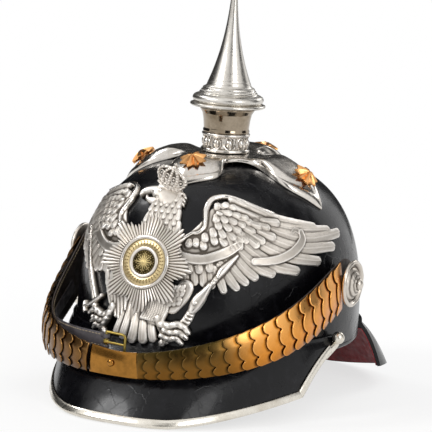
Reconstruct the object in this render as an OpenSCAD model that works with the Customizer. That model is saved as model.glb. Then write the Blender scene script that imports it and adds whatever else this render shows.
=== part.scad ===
// Cavalry officer's spiked helmet: leather skull with two visors, cruciform spike base, screw-in spike,
// stamped eagle plate, and a chinscale loop that swings on the two rosette screws.
// Z runs up the spike, the helmet faces -Y, and the wearer's left is +X.

/* [Skull] */
// Outer width of the skull at its lower edge
skull_w = 192; // [180:1:204]
// Outer length of the skull at its lower edge
skull_l = 230; // [220:1:242]
// Height of the crown over the skull's lower edge
skull_h = 120; // [112:1:128]
// How far the middle of the skull's oval lies behind the spike
skull_back = 7; // [4:0.5:10]
// Fullness of the crown's curve, 2 is an ellipse
fullness = 2.8; // [2.5:0.1:3.1]
// Thickness of the skull's leather
leather_t = 2.6; // [2:0.1:3.2]
// Thickness of the rolled edge under the skull
roll_d = 3.4; // [2.8:0.1:3.8]

/* [Visors] */
// Drop of both visors below the skull's lower edge
visor_drop = 42; // [39:0.5:46]
// Thickness of a visor's leather
visor_t = 2.4; // [2:0.1:3]
// Thickness of a visor's lining
lining_t = 0.8; // [0.6:0.1:1.2]
// Reach of the front visor ahead of the skull
front_out = 44.1; // [40.1:0.5:48.1]
// How far the front visor's corners lie inside the skull's half width
corner_in = 3; // [0:0.5:6]
// How far the front visor's corners lie ahead of the spike
corner_y = 50; // [46:0.5:56]
// Height of the front visor's corners over its lowest line
corner_rise = 13; // [9:0.5:16]
// Squareness of the front visor's outline
squareness = 2.8; // [2.2:0.1:3.4]
// Reach of the rear visor behind the skull
rear_out = 30.6; // [26.6:0.5:34.6]
// How far the rear visor's corners lie inside the skull's half width
tail_in = 2; // [0:0.5:5]
// How far the rear visor's corners lie behind the spike
tail_y = 86; // [82:0.5:92]
// Height of the rear visor's corners over its lowest line
tail_rise = 13; // [9:0.5:16]
// Height of the visors' sewn flange on the skull
flange_h = 8; // [6:0.5:10]
// Width of the front visor's metal trim
trim_w = 4.6; // [3.6:0.1:5.6]
// Thickness of the trim's metal
trim_t = 0.9; // [0.7:0.1:1.2]
// Diameter of the ball stud at each end of the trim
ball_d = 8.2; // [7:0.2:9]

/* [Spike and base] */
// Distance from the spike to the front arm's tip
arm_front = 66; // [62:1:70]
// Distance from the spike to the rear arm's tip
arm_rear = 84; // [80:1:88]
// Distance from the spike to the side arms' tips
arm_side = 76; // [73:1:79]
// Greatest width of an arm
arm_w = 40; // [36:1:44]
// Thickness of the base's sheet
base_t = 1.2; // [1:0.1:1.5]
// Rise of the base's middle over its edge
base_rise = 3.4; // [2.6:0.1:4]
// How far the arms swell off the skull
arm_swell = 8; // [5:0.5:9]
// Height of the pearl ring
pearl_h = 13; // [11:0.5:15]
// Outer radius of the pearl ring
pearl_r = 17.2; // [16:0.2:18.5]
// Number of pearls
pearls = 10; // [8:1:11]
// Height of the neck's funnel
neck_h = 18; // [16:0.5:20]
// Radius of the neck's mouth
neck_r = 19.4; // [18.5:0.1:20.5]
// Height of the spike over its flange
spike_h = 90; // [80:1:100]
// Radius of the spike's flange
flange_r = 26.4; // [25:0.2:28]
// Thickness of the spike's metal
spike_t = 1.3; // [1:0.1:1.6]
// Diameter of the spike's screw
screw_d = 8; // [7:0.1:8.6]
// Length of the spike's thread
thread_l = 9; // [7:0.5:10]
// Radius of a star-headed stud
star_r = 9.8; // [8.5:0.1:11]
// Height of a star-headed stud
star_h = 5.4; // [4.5:0.1:6.5]
// Number of points on a stud's star
star_points = 8; // [6:1:10]
// Diameter of the studs' and plate's shanks
shank_d = 3; // [2.6:0.1:3.4]

/* [Eagle plate] */
// Height of the guard star's middle over the skull's lower edge
guard_z = 57; // [54:0.5:59]
// Radius of the guard star's points
guard_r = 35; // [32:0.5:37]
// Radius of the guard star's ring
ring_r = 18.8; // [17.5:0.1:19.5]
// Thickness of the stamped plate
plate_t = 2.2; // [1.8:0.1:2.6]

/* [Chinscales] */
// Height of the rosettes over the skull's lower edge
pivot_z = 45; // [43:0.5:47]
// How far the rosettes lie ahead of the spike
pivot_y = 5; // [3:0.5:7]
// How far the chinscale loop's front lies behind the front visor's edge
loop_inset = 14; // [13:0.5:16]
// Drop of the chinscale loop from the rosettes to the front
loop_drop = 51; // [50:0.5:52]
// Width of the loop beside a rosette
scale_w = 35; // [32:0.5:36]
// Width of the loop at the front
front_w = 17; // [16:0.5:18]
// Thickness of the backing leather
strap_t = 2; // [1.6:0.1:2.2]
// Thickness of a scale
scale_t = 0.9; // [0.7:0.1:1]
// Scales on the wearer's left
scales_left = 18; // [15:1:20]
// Scales on the wearer's right
scales_right = 14; // [12:1:15]
// Length of the smooth front plate
front_plate_l = 38; // [34:1:42]
// How far the front plate's end lies to the wearer's left of the loop's middle
plate_shift = 13; // [11:0.5:15]
// Radius of a rosette
rosette_r = 16.4; // [15:0.2:17.4]
// Diameter of the rosettes' screws
pin_d = 5; // [4.4:0.1:5.6]

/* [Lining] */
// Height of the leather sweatband
band_h = 60; // [54:1:64]
// Thickness of the sweatband
band_t = 1.4; // [1.1:0.1:1.8]
// Height of the silk liner over the sweatband
silk_h = 30; // [24:1:34]

/* [Clearances] */
// Gap between pieces that are seated on each other
seat = 0.25; // [0.2:0.05:0.35]
// Radial gap of a turning fit
fit = 0.06; // [0.04:0.01:0.09]

/* [Hidden] */
$fn = 64;
half_w = skull_w / 2;
half_l = skull_l / 2;
corner_x = half_w - corner_in;
tail_x = half_w - tail_in;
front_reach = half_l - skull_back + front_out;
rear_reach = half_l + skull_back + rear_out;
loop_reach = front_reach - loop_inset;
silver = [0.80, 0.80, 0.79];
gilt = [0.80, 0.58, 0.26];
black = [0.07, 0.07, 0.08];

function lerp(a, b, t) = a + (b - a) * t;
function unit(v) = v / norm(v);
function flat(rows) = [for (r = rows) each r];
function ease(t) = let (c = min(1, max(0, t))) c * c * (3 - 2 * c);

// The skull's surface: an oval whose size follows a full round curve up to the crown
function oval(x, y) = norm([x / half_w, (y - skull_back) / half_l]);
function slice(h) = pow(max(0, 1 - pow(max(0, h) / skull_h, fullness)), 1 / fullness);
function side_p(a, h) =
    [half_w * slice(h) * sin(a), skull_back - half_l * slice(h) * cos(a), h];
function crown_p(x, y) =
    [x, y, skull_h * pow(max(0, 1 - pow(oval(x, y), fullness)), 1 / fullness)];
function skull_n(p) =
    let (g = pow(max(0.01, oval(p.x, p.y)), fullness - 2))
    unit([p.x / half_w ^ 2 * g, (p.y - skull_back) / half_l ^ 2 * g,
        pow(max(0, p.z), fullness - 1) / pow(skull_h, fullness)]);
function on_side(a, h, lift) = let (p = side_p(a, h)) p + skull_n(p) * lift;
function on_crown(x, y, lift) = let (p = crown_p(x, y)) p + skull_n(p) * lift;

// Stands a child on the skull, its Z along the skull's normal
module stand(p, n) {
    translate(p) rotate([0, acos(n.z), atan2(n.y, n.x)]) children();
}

module at_rim() translate([0, 0, rest_z]) children();

function halves(q) = [[q[0], q[1], q[2]], [q[0], q[2], q[3]]];

// Closed sheet between an outer and an inner grid of points, rows by columns
module sheet(A, B, wrap = false) {
    r = len(A);
    c = len(A[0]);
    n = r * c;
    k = wrap ? c : c - 1;
    m = floor((r - 1) / 2);
    q = floor((c - 1) / 2);
    turned = cross(A[m][q + 1] - A[m][q], A[m + 1][q] - A[m][q]) * (A[m][q] - B[m][q]) > 0;
    walls = [for (i = [0:r - 2], j = [0:k - 1]) let (l = (j + 1) % c, o = i * c, u = o + c)
        each [[o + j, u + j, u + l, o + l], [n + u + l, n + u + j, n + o + j, n + o + l]]];
    rims = [for (j = [0:k - 1]) let (l = (j + 1) % c, o = (r - 1) * c)
        each [[j, l, n + l, n + j], [o + l, o + j, n + o + j, n + o + l]]];
    ends = wrap ? [] : [for (i = [0:r - 2]) let (o = i * c, u = o + c)
        each [[u, o, n + o, n + u], [o + c - 1, u + c - 1, n + u + c - 1, n + o + c - 1]]];
    tris = [for (f = concat(walls, rims, ends)) each halves(f)];
    polyhedron(concat(flat(A), flat(B)), turned ? tris : [for (t = tris) [t[2], t[1], t[0]]]);
}

// Closed rod through rings of points; the ends are flat
module skin(rings) {
    c = len(rings[0]);
    m = len(rings);
    walls = [for (i = [0:m - 2], j = [0:c - 1]) let (l = (j + 1) % c)
        each halves([i * c + j, i * c + l, (i + 1) * c + l, (i + 1) * c + j])];
    caps = [[for (j = [c - 1:-1:0]) j], [for (j = [0:c - 1]) (m - 1) * c + j]];
    polyhedron(flat(rings), concat(walls, caps));
}

// Ring that follows the skull's oval, its points [inset from the wall, height] taken all round
around = [for (i = [0:47]) i * 7.5];
module oval_solid(profile, c = 48) {
    r = len(profile);
    pts = [for (q = profile) for (i = [0:c - 1]) let (a = i * 360 / c)
        [(half_w - q[0]) * sin(a), skull_back - (half_l - q[0]) * cos(a), q[1]]];
    polyhedron(pts, [for (i = [0:r - 1], j = [0:c - 1]) let (l = (j + 1) % c, u = (i + 1) % r)
        each halves([i * c + j, u * c + j, u * c + l, i * c + l])]);
}

// Skull

stud_places = [[0, -arm_front + 19], [0, arm_rear - 19], [arm_side - 17, 0], [17 - arm_side, 0]];
post_places = [[46, 74], [-46, 74]];
neck_tube_r = screw_d / 2 + 3.5;

module stud_holes(r) {
    for (p = stud_places) stand(on_crown(p.x, p.y, 0), skull_n(crown_p(p.x, p.y)))
        cylinder(r = r, h = 20, center = true, $fn = 16);
}

module skull() {
    heights = [for (f = [0, 16, 30, 43, 55, 66, 76, 84]) skull_h * pow(sin(f), 2 / fullness)];
    hole = neck_tube_r + seat;
    rows = concat([for (h = heights) [for (a = around) side_p(a, h)]],
        [[for (a = around) crown_p(hole * sin(a), -hole * cos(a))]]);
    color(black) at_rim() difference() {
        sheet(rows, [for (i = [0:len(rows) - 1]) [for (p = rows[i])
            p - (i == len(rows) - 1 ? [0, 0, 1] : skull_n(p)) * leather_t]], true);
        stud_holes(shank_d / 2 + seat);
        for (p = post_places) stand(side_p(p[0], p[1]), skull_n(side_p(p[0], p[1])))
            cylinder(r = shank_d / 2 + seat, h = 20, center = true, $fn = 16);
        translate([0, -pivot_y, pivot_z]) rotate([0, 90, 0])
            cylinder(r = pin_d / 2 + seat, h = 2 * skull_w, center = true, $fn = 24);
        stand(side_p(180, spine_screw_z), skull_n(side_p(180, spine_screw_z)))
            cylinder(r = shank_d / 2 + seat, h = 20, center = true, $fn = 16);
    }
}

module edge_roll() {
    color(black) at_rim() oval_solid([for (f = [0:60:300])
        [roll_d / 2 * (1 - cos(f)), -roll_d / 2 - 0.1 + roll_d / 2 * sin(f)]]);
}

// Visors

ear_front = 82.5;
ear_rear = 60;
flange_z = 3;
stack_t = visor_t + seat + lining_t;
rest_z = visor_drop + stack_t - 1.25;
root_lift = stack_t + 2 * seat;
visor_rows = 5;

function wall(a, z, lift) = let (p = side_p(a, 0)) [p.x, p.y, z] + skull_n(p) * lift;
function front_a(b) = ear_front * b / 90;
function rear_a(b) = 180 - ear_rear * b / 90;

// Front visor's lower edge, b from -90 at the wearer's right corner to 90 at the left one
function front_edge(b) = let (s = abs(sin(b)))
    [corner_x * sin(b), -front_reach + (front_reach - corner_y) * pow(s, squareness),
        max(-visor_drop, -visor_drop - 1 + (corner_rise + 1) * pow(s, 3))];
// Rear visor's lower edge, b from -90 at the wearer's right corner to 90 at the left one
function rear_edge(b) = [tail_x * sin(b), tail_y + (rear_reach - tail_y) * pow(max(0, cos(b)), 0.9),
    -visor_drop - 2.4 + (tail_rise + 2.4) * pow(abs(sin(b)), 2.2)];

// A visor bulges from its root on the skull's wall to its edge
function bulge(p, e, s) = let (c = [lerp(p.x, e.x, 0.55), lerp(p.y, e.y, 0.55), lerp(p.z, e.z, 0.32)])
    (1 - s) ^ 2 * p + 2 * s * (1 - s) * c + s ^ 2 * e;
front_f = function(b, s) bulge(wall(front_a(b), flange_z, root_lift), front_edge(b), s);
rear_f = function(b, s) bulge(wall(rear_a(b), flange_z, root_lift), rear_edge(b), s);
front_wall = function(b, z, lift) wall(front_a(b), z, lift);
rear_wall = function(b, z, lift) wall(rear_a(b), z, lift);

function up_n(f, b, s, end) =
    let (u = f(b, min(1, s + 0.15)) - f(b, max(0, s - 0.15)),
        v = f(min(end, b + 8), s) - f(max(-end, b - 8), s), n = unit(cross(v, u)))
    n.z < 0 ? -n : n;
function layer(f, bs, end, depth, last) =
    [for (i = [1:visor_rows]) let (s = i < visor_rows ? i / visor_rows : last)
        [for (b = bs) let (p = f(b, s) - up_n(f, b, s, end) * depth) [p.x, p.y, max(p.z, -rest_z)]]];

// Leather with its sewn flange
module visor(f, w, bs) {
    end = bs[len(bs) - 1];
    sheet(concat([[for (b = bs) w(b, flange_h, visor_t + seat)]], [[for (b = bs) f(b, 0)]],
            layer(f, bs, end, 0, 1)),
        concat([[for (b = bs) w(b, flange_h, seat)]], [[for (b = bs) w(b, flange_z - 2, seat)]],
            layer(f, bs, end, visor_t, 1)));
}
// Thin leather glued under a visor
module lining(f, w, bs) {
    end = bs[len(bs) - 1];
    sheet(concat([[for (b = bs) w(b, flange_z - 2.4, seat)]], layer(f, bs, end, visor_t + seat, 0.985)),
        concat([[for (b = bs) w(b, flange_z - 2.4 - lining_t, seat)]],
            layer(f, bs, end, stack_t, 0.985)));
}
front_bs = [for (i = [-11:11]) i * 90 / 11];
rear_bs = [for (i = [-8:8]) i * 90 / 8];

module front_visor() color(black) at_rim() visor(front_f, front_wall, front_bs);
module front_lining() color([0.16, 0.25, 0.16]) at_rim() lining(front_f, front_wall, front_bs);
module rear_visor() color(black) at_rim() visor(rear_f, rear_wall, rear_bs);
module rear_lining() color([0.45, 0.07, 0.08]) at_rim() lining(rear_f, rear_wall, rear_bs);

// Metal channel round the front visor's edge, from ear to ear
trim_path = concat([for (i = [1:4]) [-90, i / 5]], [for (b = front_bs) [b, 1]],
    [for (i = [4:-1:1]) [90, i / 5]]);
module visor_trim() {
    function section(w, h) = let (o = h + trim_t) [[w - 0.4, o], [-0.5, o], [-0.1 - trim_t, h * 0.5],
        [-0.1 - trim_t, -h * 0.5], [-0.5, -o], [w - 0.4, -o], [w, -h - 0.3], [w, -h], [-0.1, -h],
        [-0.1, h], [w, h], [w, h + 0.3]];
    pts = [for (q = trim_path) front_f(q[0], q[1]) - up_n(front_f, q[0], q[1], 90) * stack_t / 2];
    m = len(pts) - 1;
    color(silver) at_rim() skin([for (i = [0:m]) let (q = trim_path[i],
        t = unit(pts[min(m, i + 1)] - pts[max(0, i - 1)]), n0 = up_n(front_f, q[0], q[1], 90),
        d = unit(cross(n0, t)), n = unit(cross(t, d)), e = unit(pts[min(m, i + 1)] - pts[i == m ? m - 1 : i]),
        k = 1 / sqrt(1 - min(0.6, (d * e) ^ 2)))
        [for (c = section(q[1] < 1 ? trim_w * 0.55 : trim_w, stack_t / 2 + (q[1] < 1 ? 3 : 1.6) * seat))
            let (p = pts[i] + d * c[0] * k + n * c[1]) [p.x, p.y, max(p.z, -rest_z)]]]);
}

// Turned ball with a flat foot
ball_z = 7.4;
module trim_balls() color(silver) at_rim() for (b = [-80.5, 80.5])
    stand(wall(b, ball_z, visor_t + 3 * seat + 0.4), skull_n(side_p(b, 0)))
        rotate_extrude() polygon(concat([[0, 0], [ball_d * 0.34, 0]],
            [for (f = [-45:15:90]) [ball_d / 2 * cos(f), ball_d / 2 * (0.7 + sin(f))]]));

// Spine down the back and over the rear visor, hooked under its edge
spine_w = 9;
spine_t = 1;
spine_screw_z = 24;
module rear_spine() {
    l0 = arm_rear + 1;
    crown = [for (y = [l0:4:106]) crown_p(0, y)];
    side = [for (h = [72:-8:16]) side_p(180, h)];
    skull_pts = concat(crown, side);
    over = concat([for (p = skull_pts) [p, skull_n(p), seat]],
        [[wall(180, flange_h + 2, 0), [0, 1, 0], visor_t + 2 * seat],
            [wall(180, flange_z + 1.5, 0), [0, 1, 0.2], root_lift + seat]],
        [for (i = [1:5]) [rear_f(0, i * 0.194), up_n(rear_f, 0, i * 0.194, 90), seat]]);
    ws = [-1, 0, 1];
    color(silver) at_rim() difference() {
        sheet([for (q = over) [for (x = ws) q[0] + unit(q[1]) * (q[2] + spine_t + 0.4 * (1 - x * x))
                + [x * spine_w / 2, 0, 0]]],
            [for (q = over) [for (x = ws) q[0] + unit(q[1]) * q[2] + [x * spine_w / 2, 0, 0]]]);
        stand(side_p(180, spine_screw_z), skull_n(side_p(180, spine_screw_z)))
            cylinder(r = shank_d / 2 + seat, h = 20, center = true, $fn = 16);
    }
}
module spine_screw() {
    p = side_p(180, spine_screw_z);
    color(silver) at_rim() stand(p + skull_n(p) * (seat + spine_t + 0.6), skull_n(p)) {
        rotate_extrude() polygon([[0, 0], [2.8, 0], [2.2, 1.1], [0, 1.6]]);
        translate([0, 0, -leather_t - 3.4]) cylinder(r = shank_d / 2, h = leather_t + 3.8);
    }
}

// Cruciform spike base, a pressed sheet with four pointed arms

base_hole = neck_tube_r + 0.8;
// Half of an arm: how far along the arm, and how wide as a share of its greatest half width
arm_half = [[0, 0.95], [0.09, 0.78], [0.2, 0.72], [0.33, 0.8], [0.45, 0.93], [0.6, 0.99],
    [0.73, 0.86], [0.87, 0.48], [1, 0]];
arm_last = len(arm_half) - 1;
arm_root = 0.95 * arm_w / 2;
arm_l = [arm_side, arm_rear, arm_side, arm_front];
function arm_point(k, q, side) = let (a = lerp(arm_root, arm_l[k], q[0]), w = side * q[1] * arm_w / 2)
    [a * cos(90 * k) - w * sin(90 * k), a * sin(90 * k) + w * cos(90 * k)];
base_outline = [for (k = [0:3]) each concat([for (i = [0:arm_last]) arm_point(k, arm_half[i], -1)],
    [for (i = [arm_last - 1:-1:1]) arm_point(k, arm_half[i], 1)])];
edge_step = 0.7;
function base_lift(p, u) = 1.5 * seat + base_t + base_rise * (1 - ease((norm(p) - pearl_r) / 26))
    + arm_swell * ease((norm(p) - pearl_r - 6) / 18) * (1 - u ^ 4) + (u > 0.94 && u < 1 ? edge_step : 0);
base_us = [0, 0.2, 0.38, 0.56, 0.76, 0.93, 0.95, 1];
base_last = len(base_us) - 1;
module spike_base() {
    rows = [for (u = base_us) [for (q = base_outline) lerp(base_hole * unit(q), q, u)]];
    color(silver) at_rim() difference() {
        sheet([for (i = [0:base_last]) [for (q = rows[i]) on_crown(q.x, q.y, base_lift(q, base_us[i]))]],
            [for (i = [0:base_last]) [for (q = rows[i])
                on_crown(q.x, q.y, base_lift(q, base_us[i]) - base_t)]], true);
        stud_holes(shank_d / 2 + seat);
    }
}

// Ridged star head of a stud
module star_head() {
    ring = [for (i = [0:2 * star_points - 1]) let (r = i % 2 == 0 ? star_r : star_r * 0.55,
        a = i * 180 / star_points) [r * cos(a), r * sin(a)]];
    n = len(ring);
    polyhedron(concat([for (q = ring) [q.x, q.y, 0]], [for (i = [0:n - 1])
            [ring[i].x, ring[i].y, i % 2 == 0 ? 1.1 : 0.7]], [[0, 0, star_h], [0, 0, 0]]),
        [for (i = [0:n - 1]) let (l = (i + 1) % n)
            each concat(halves([i, n + i, n + l, l]), [[n + i, 2 * n, n + l], [i, l, 2 * n + 1]])]);
}
nut_h = 2.2;
stud_in = leather_t + 3 * seat + nut_h + 1;
stud_arms = [arm_front, arm_rear, arm_side, arm_side];
function arm_top(p, l) = on_crown(p.x, p.y, base_lift(p, (norm(p) - base_hole) / (l - base_hole)));
module star_studs() color(gilt) at_rim() for (i = [0:3]) {
    p = stud_places[i];
    u = unit(p);
    l = stud_arms[i];
    w = [-u.y, u.x];
    n = unit(cross(arm_top(p + 6 * u, l) - arm_top(p - 6 * u, l), arm_top(p + w, l) - arm_top(p - w, l)));
    stand(arm_top(p, l) + seat * n, n) star_head();
    stand(on_crown(p.x, p.y, -stud_in), skull_n(crown_p(p.x, p.y)))
        cylinder(r = shank_d / 2, h = stud_in + norm(arm_top(p, l) - crown_p(p.x, p.y)) + 0.3 * star_h,
            $fn = 16);
}
module nut() difference() {
    cylinder(r = shank_d / 2 + 2.6, h = nut_h, $fn = 6);
    translate([0, 0, -1]) cylinder(r = shank_d / 2 + fit, h = nut_h + 2, $fn = 16);
}
module stud_nuts() color([0.72, 0.6, 0.35]) at_rim() for (p = stud_places)
    stand(on_crown(p.x, p.y, -leather_t - 3 * seat - nut_h), skull_n(crown_p(p.x, p.y))) nut();

// Pearl ring, neck and what holds them inside the skull

ring_z = skull_h + base_rise + base_t + 2 * seat;
foot_z = ring_z + pearl_h;
mouth_z = foot_z + neck_h;
module pearl_ring() {
    wall_r = pearl_r - 3.4;
    pearl = pearl_h * 0.28;
    color(silver) at_rim() translate([0, 0, ring_z]) {
        rotate_extrude() polygon(concat([[neck_tube_r + seat, 0]],
            [for (f = [-90:30:90]) [pearl_r - 1.2 + 1.2 * cos(f), 1.2 + 1.2 * sin(f)]],
            [[wall_r, 2.6], [wall_r, pearl_h - 2.6]],
            [for (f = [-90:30:90]) [pearl_r - 1.2 + 1.2 * cos(f), pearl_h - 1.2 + 1.2 * sin(f)]],
            [[neck_tube_r + seat, pearl_h]]));
        for (i = [0:pearls - 1]) rotate([0, 0, (i + 0.5) * 360 / pearls])
            translate([wall_r, 0, pearl_h / 2]) sphere(r = pearl);
    }
}
bore_r = screw_d / 2 + fit;
boss_z = foot_z + 4;
module spike_neck() {
    color(silver) at_rim() rotate_extrude() polygon([[bore_r, boss_z - thread_l],
        [neck_tube_r - 1.8, boss_z - thread_l], [neck_tube_r - 1.8, skull_h - 14],
        [neck_tube_r, skull_h - 14], [neck_tube_r, foot_z + 0.1], [pearl_r - 1.2, foot_z + 0.1],
        [pearl_r - 0.7, foot_z + 1], [pearl_r - 1, foot_z + 3], [pearl_r - 0.4, foot_z + neck_h * 0.5],
        [neck_r - 0.5, mouth_z - 2.2], [neck_r, mouth_z - 1.2], [neck_r - 0.6, mouth_z],
        [neck_r - 1.8, mouth_z], [pearl_r - 1.7, foot_z + neck_h * 0.5], [pearl_r - 2.4, foot_z + 3],
        [pearl_r - 2.4, foot_z + 1.4], [neck_tube_r, foot_z + 1.4], [neck_tube_r - 1, boss_z],
        [bore_r, boss_z]]);
}
washer_z = skull_h - leather_t - 2.6;
module neck_washer() color(silver) at_rim() difference() {
    translate([0, 0, washer_z]) cylinder(r = neck_tube_r + 10, h = 1.6);
    cylinder(r = neck_tube_r + seat, h = 2 * skull_h);
}
module neck_nut() color([0.72, 0.6, 0.35]) at_rim() difference() {
    translate([0, 0, washer_z - 4.6]) cylinder(r = neck_tube_r + 5, h = 4.4, $fn = 6);
    cylinder(r = neck_tube_r + fit, h = 2 * skull_h);
}

// Spike: a hollow turned shell over a floor, with a screw that swivels in the floor

spike_z = mouth_z + 0.3;
floor_t = 2.2;
// Half profile from the flange to the tip: height and radius as the concave spike narrows
function spike_r(z) = let (t = z / spike_h) 1.5 + (flange_r - 9.5) * pow(1 - t, 2.6) + 4.5 * (1 - t);
spike_zs = [for (i = [0:14]) let (t = i / 14) lerp(13.5, spike_h - 1.5, t)];
module spike() {
    outer = concat([[flange_r - 0.8, 0], [flange_r, 0.6], [flange_r, 1.6], [flange_r - 1.2, 2.2]],
        [for (f = [-60:20:60]) [flange_r - 5.2 + 3.6 * cos(f), 5.3 + 3.4 * sin(f)]],
        [[flange_r - 6.4, 9], [flange_r - 6.2, 9.8], [flange_r - 7, 10.4], [flange_r - 7.2, 11.2],
            [flange_r - 8, 11.8], [flange_r - 8.4, 12.6]],
        [for (z = spike_zs) [spike_r(z), z]], [[0.9, spike_h - 0.4], [0, spike_h]]);
    inner = concat([[0, spike_h - 14]], [for (i = [11:-1:0]) [spike_r(spike_zs[i]) - spike_t, spike_zs[i]]],
        [[flange_r - 8, 9], [flange_r - 5, 6.4], [flange_r - 5, 4.4], [flange_r - 8, floor_t]]);
    color(silver) at_rim() translate([0, 0, spike_z]) rotate_extrude() polygon(concat(
        [[bore_r, 0]], outer, inner, [[bore_r, floor_t]]));
}
screw_head_r = screw_d / 2 + 3;
module spike_screw() color([0.72, 0.6, 0.35]) at_rim() rotate_extrude() polygon([
    [0, boss_z - thread_l + 0.2], [screw_d / 2 - 0.6, boss_z - thread_l + 0.2],
    [screw_d / 2, boss_z - thread_l + 1], [screw_d / 2, spike_z - 3.4], [screw_head_r, spike_z - 3.4],
    [screw_head_r, spike_z - 0.1], [screw_d / 2, spike_z - 0.1], [screw_d / 2, spike_z + floor_t + 0.1],
    [screw_head_r, spike_z + floor_t + 0.1], [screw_head_r, spike_z + floor_t + 2.1],
    [0, spike_z + floor_t + 2.1]]);

// Eagle plate, built up from tapering strokes that lie on the skull

// Each stroke is a list of [azimuth, height on a crown 120 high, half width, lift]
plate_k = skull_h / 120;
function fine(path, k) = concat([for (i = [0:len(path) - 2], j = [0:k - 1])
    lerp(path[i], path[i + 1], j / k)], [path[len(path) - 1]]);
function over_flange(q) = q[3] + (visor_t + 2 * seat + 0.5) * ease((34 - q[1]) / 24);
relief = [[-1, 0], [-0.55, 0.95], [0.55, 0.95], [1, 0]];
module stroke(path, k = 2) {
    q = fine(path, k);
    m = len(q) - 1;
    c = [for (p = q) side_p(p[0], p[1] * plate_k)];
    ring = [for (i = [0:m]) let (n = skull_n(c[i]), t = unit(c[min(m, i + 1)] - c[max(0, i - 1)]),
        s = unit(cross(n, t)))
        [for (r = relief) c[i] + s * r[0] * q[i][2] + n * (over_flange(q[i]) + r[1] * plate_t)]];
    t0 = unit(c[0] - c[1]);
    t1 = unit(c[m] - c[m - 1]);
    function tip(i, t) = let (n = skull_n(c[i]), s = unit(cross(n, i == 0 ? -t : t))) [for (r = relief)
        c[i] + t * q[i][2] * 0.7 + s * r[0] * q[i][2] * 0.5
            + n * (over_flange(q[i]) + r[1] * plate_t * 0.6)];
    skin(concat([tip(0, t0)], ring, [tip(m, t1)]));
}
// Root and tip of each flight feather, from the top of the wing down
flight = [[[34, 97.5], [74, 82.4]], [[38, 93], [82.8, 79.2]], [[44, 86], [90.3, 76.2]], [[45, 80], [83.4, 68.5]],
    [[42, 76], [72.6, 60.6]], [[39, 72], [61, 55.7]], [[36, 69], [50, 54.6]], [[33, 66], [42.9, 52.6]],
    [[31, 63], [39.2, 49.2]], [[28.8, 60], [35.7, 45.6]], [[26, 57], [30.8, 43.6]]];
module wing(m) {
    function go(a) = m > 0 ? a : -0.97 * a - 5;
    for (i = [0:len(flight) - 1]) let (f = flight[i], w = i < 6 ? 4.1 : 3.3, lift = 0.7 + (i % 2) * 0.4)
        stroke([[go(f[0][0]), f[0][1], w, 1.2],
            [go(lerp(f[0][0], f[1][0], 0.5)), lerp(f[0][1], f[1][1], 0.56), w * 1.05, lift],
            [go(f[1][0]), f[1][1], w * 0.86, lift]], i < 6 ? 2 : 1);
    // Coverts of the shoulder, the rolled front edge and the short feathers below
    stroke([[go(14), 66, 8, 1.4], [go(23), 80, 9, 1.6], [go(30), 89, 9, 1.6], [go(43), 84, 7, 1.4]], 1);
    stroke([[go(13), 76, 1.6, 2.2], [go(20), 82, 2, 2.2], [go(20.4), 94, 2.6, 2], [go(26), 100.4, 2.4, 1.8],
        [go(38), 98.6, 1.8, 1.6], [go(54), 91.4, 1.4, 1.2]], 1);
    stroke([[go(13), 62, 4.4, 1.2], [go(15.5), 50, 3.4, 1]], 1);
    stroke([[go(21), 62, 4.8, 1.2], [go(21.4), 50, 3.6, 1]], 1);
    // Scroll
    stroke([[go(8), 64.2, 3.2, 1.8], [go(22.5), 63, 3.3, 1.6], [go(36), 72.6, 2.6, 1.4]]);
    stroke([[go(43), 62.6, 2.8, 1.6], [go(53), 63.8, 3.1, 1.4], [go(62), 70.6, 3.2, 1.4],
        [go(65.4), 79.4, 2.6, 1.4]]);
}
// Crown, standing clear of the front arm of the spike base
crown_at = [-5, 102];
crown_w = 25;
crown_h = 21;
module eagle_crown() {
    c = side_p(crown_at[0], crown_at[1] * plate_k);
    translate(c + skull_n(c) * 3) rotate([97, 0, crown_at[0]]) rotate([0, 0, 4]) {
        linear_extrude(1.6) polygon([[-0.36 * crown_w, 0], [0.36 * crown_w, 0],
            [0.5 * crown_w, 0.5 * crown_h],
            [0.4 * crown_w, 0.74 * crown_h], [0.08 * crown_w, 0.86 * crown_h], [0.06 * crown_w, crown_h],
            [-0.06 * crown_w, crown_h], [-0.08 * crown_w, 0.86 * crown_h], [-0.4 * crown_w, 0.74 * crown_h],
            [-0.5 * crown_w, 0.5 * crown_h]]);
        translate([-0.37 * crown_w, -0.6, 0]) cube([0.74 * crown_w, 3.2, 2.6]);
        for (i = [-2:2]) rotate([0, 0, -i * 20]) translate([i * 1.2, 3, 0])
            cube([1.8, 0.66 * crown_h - abs(i) * 1.6, 2.4]);
    }
}
breast_lift = 2.2;
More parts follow.
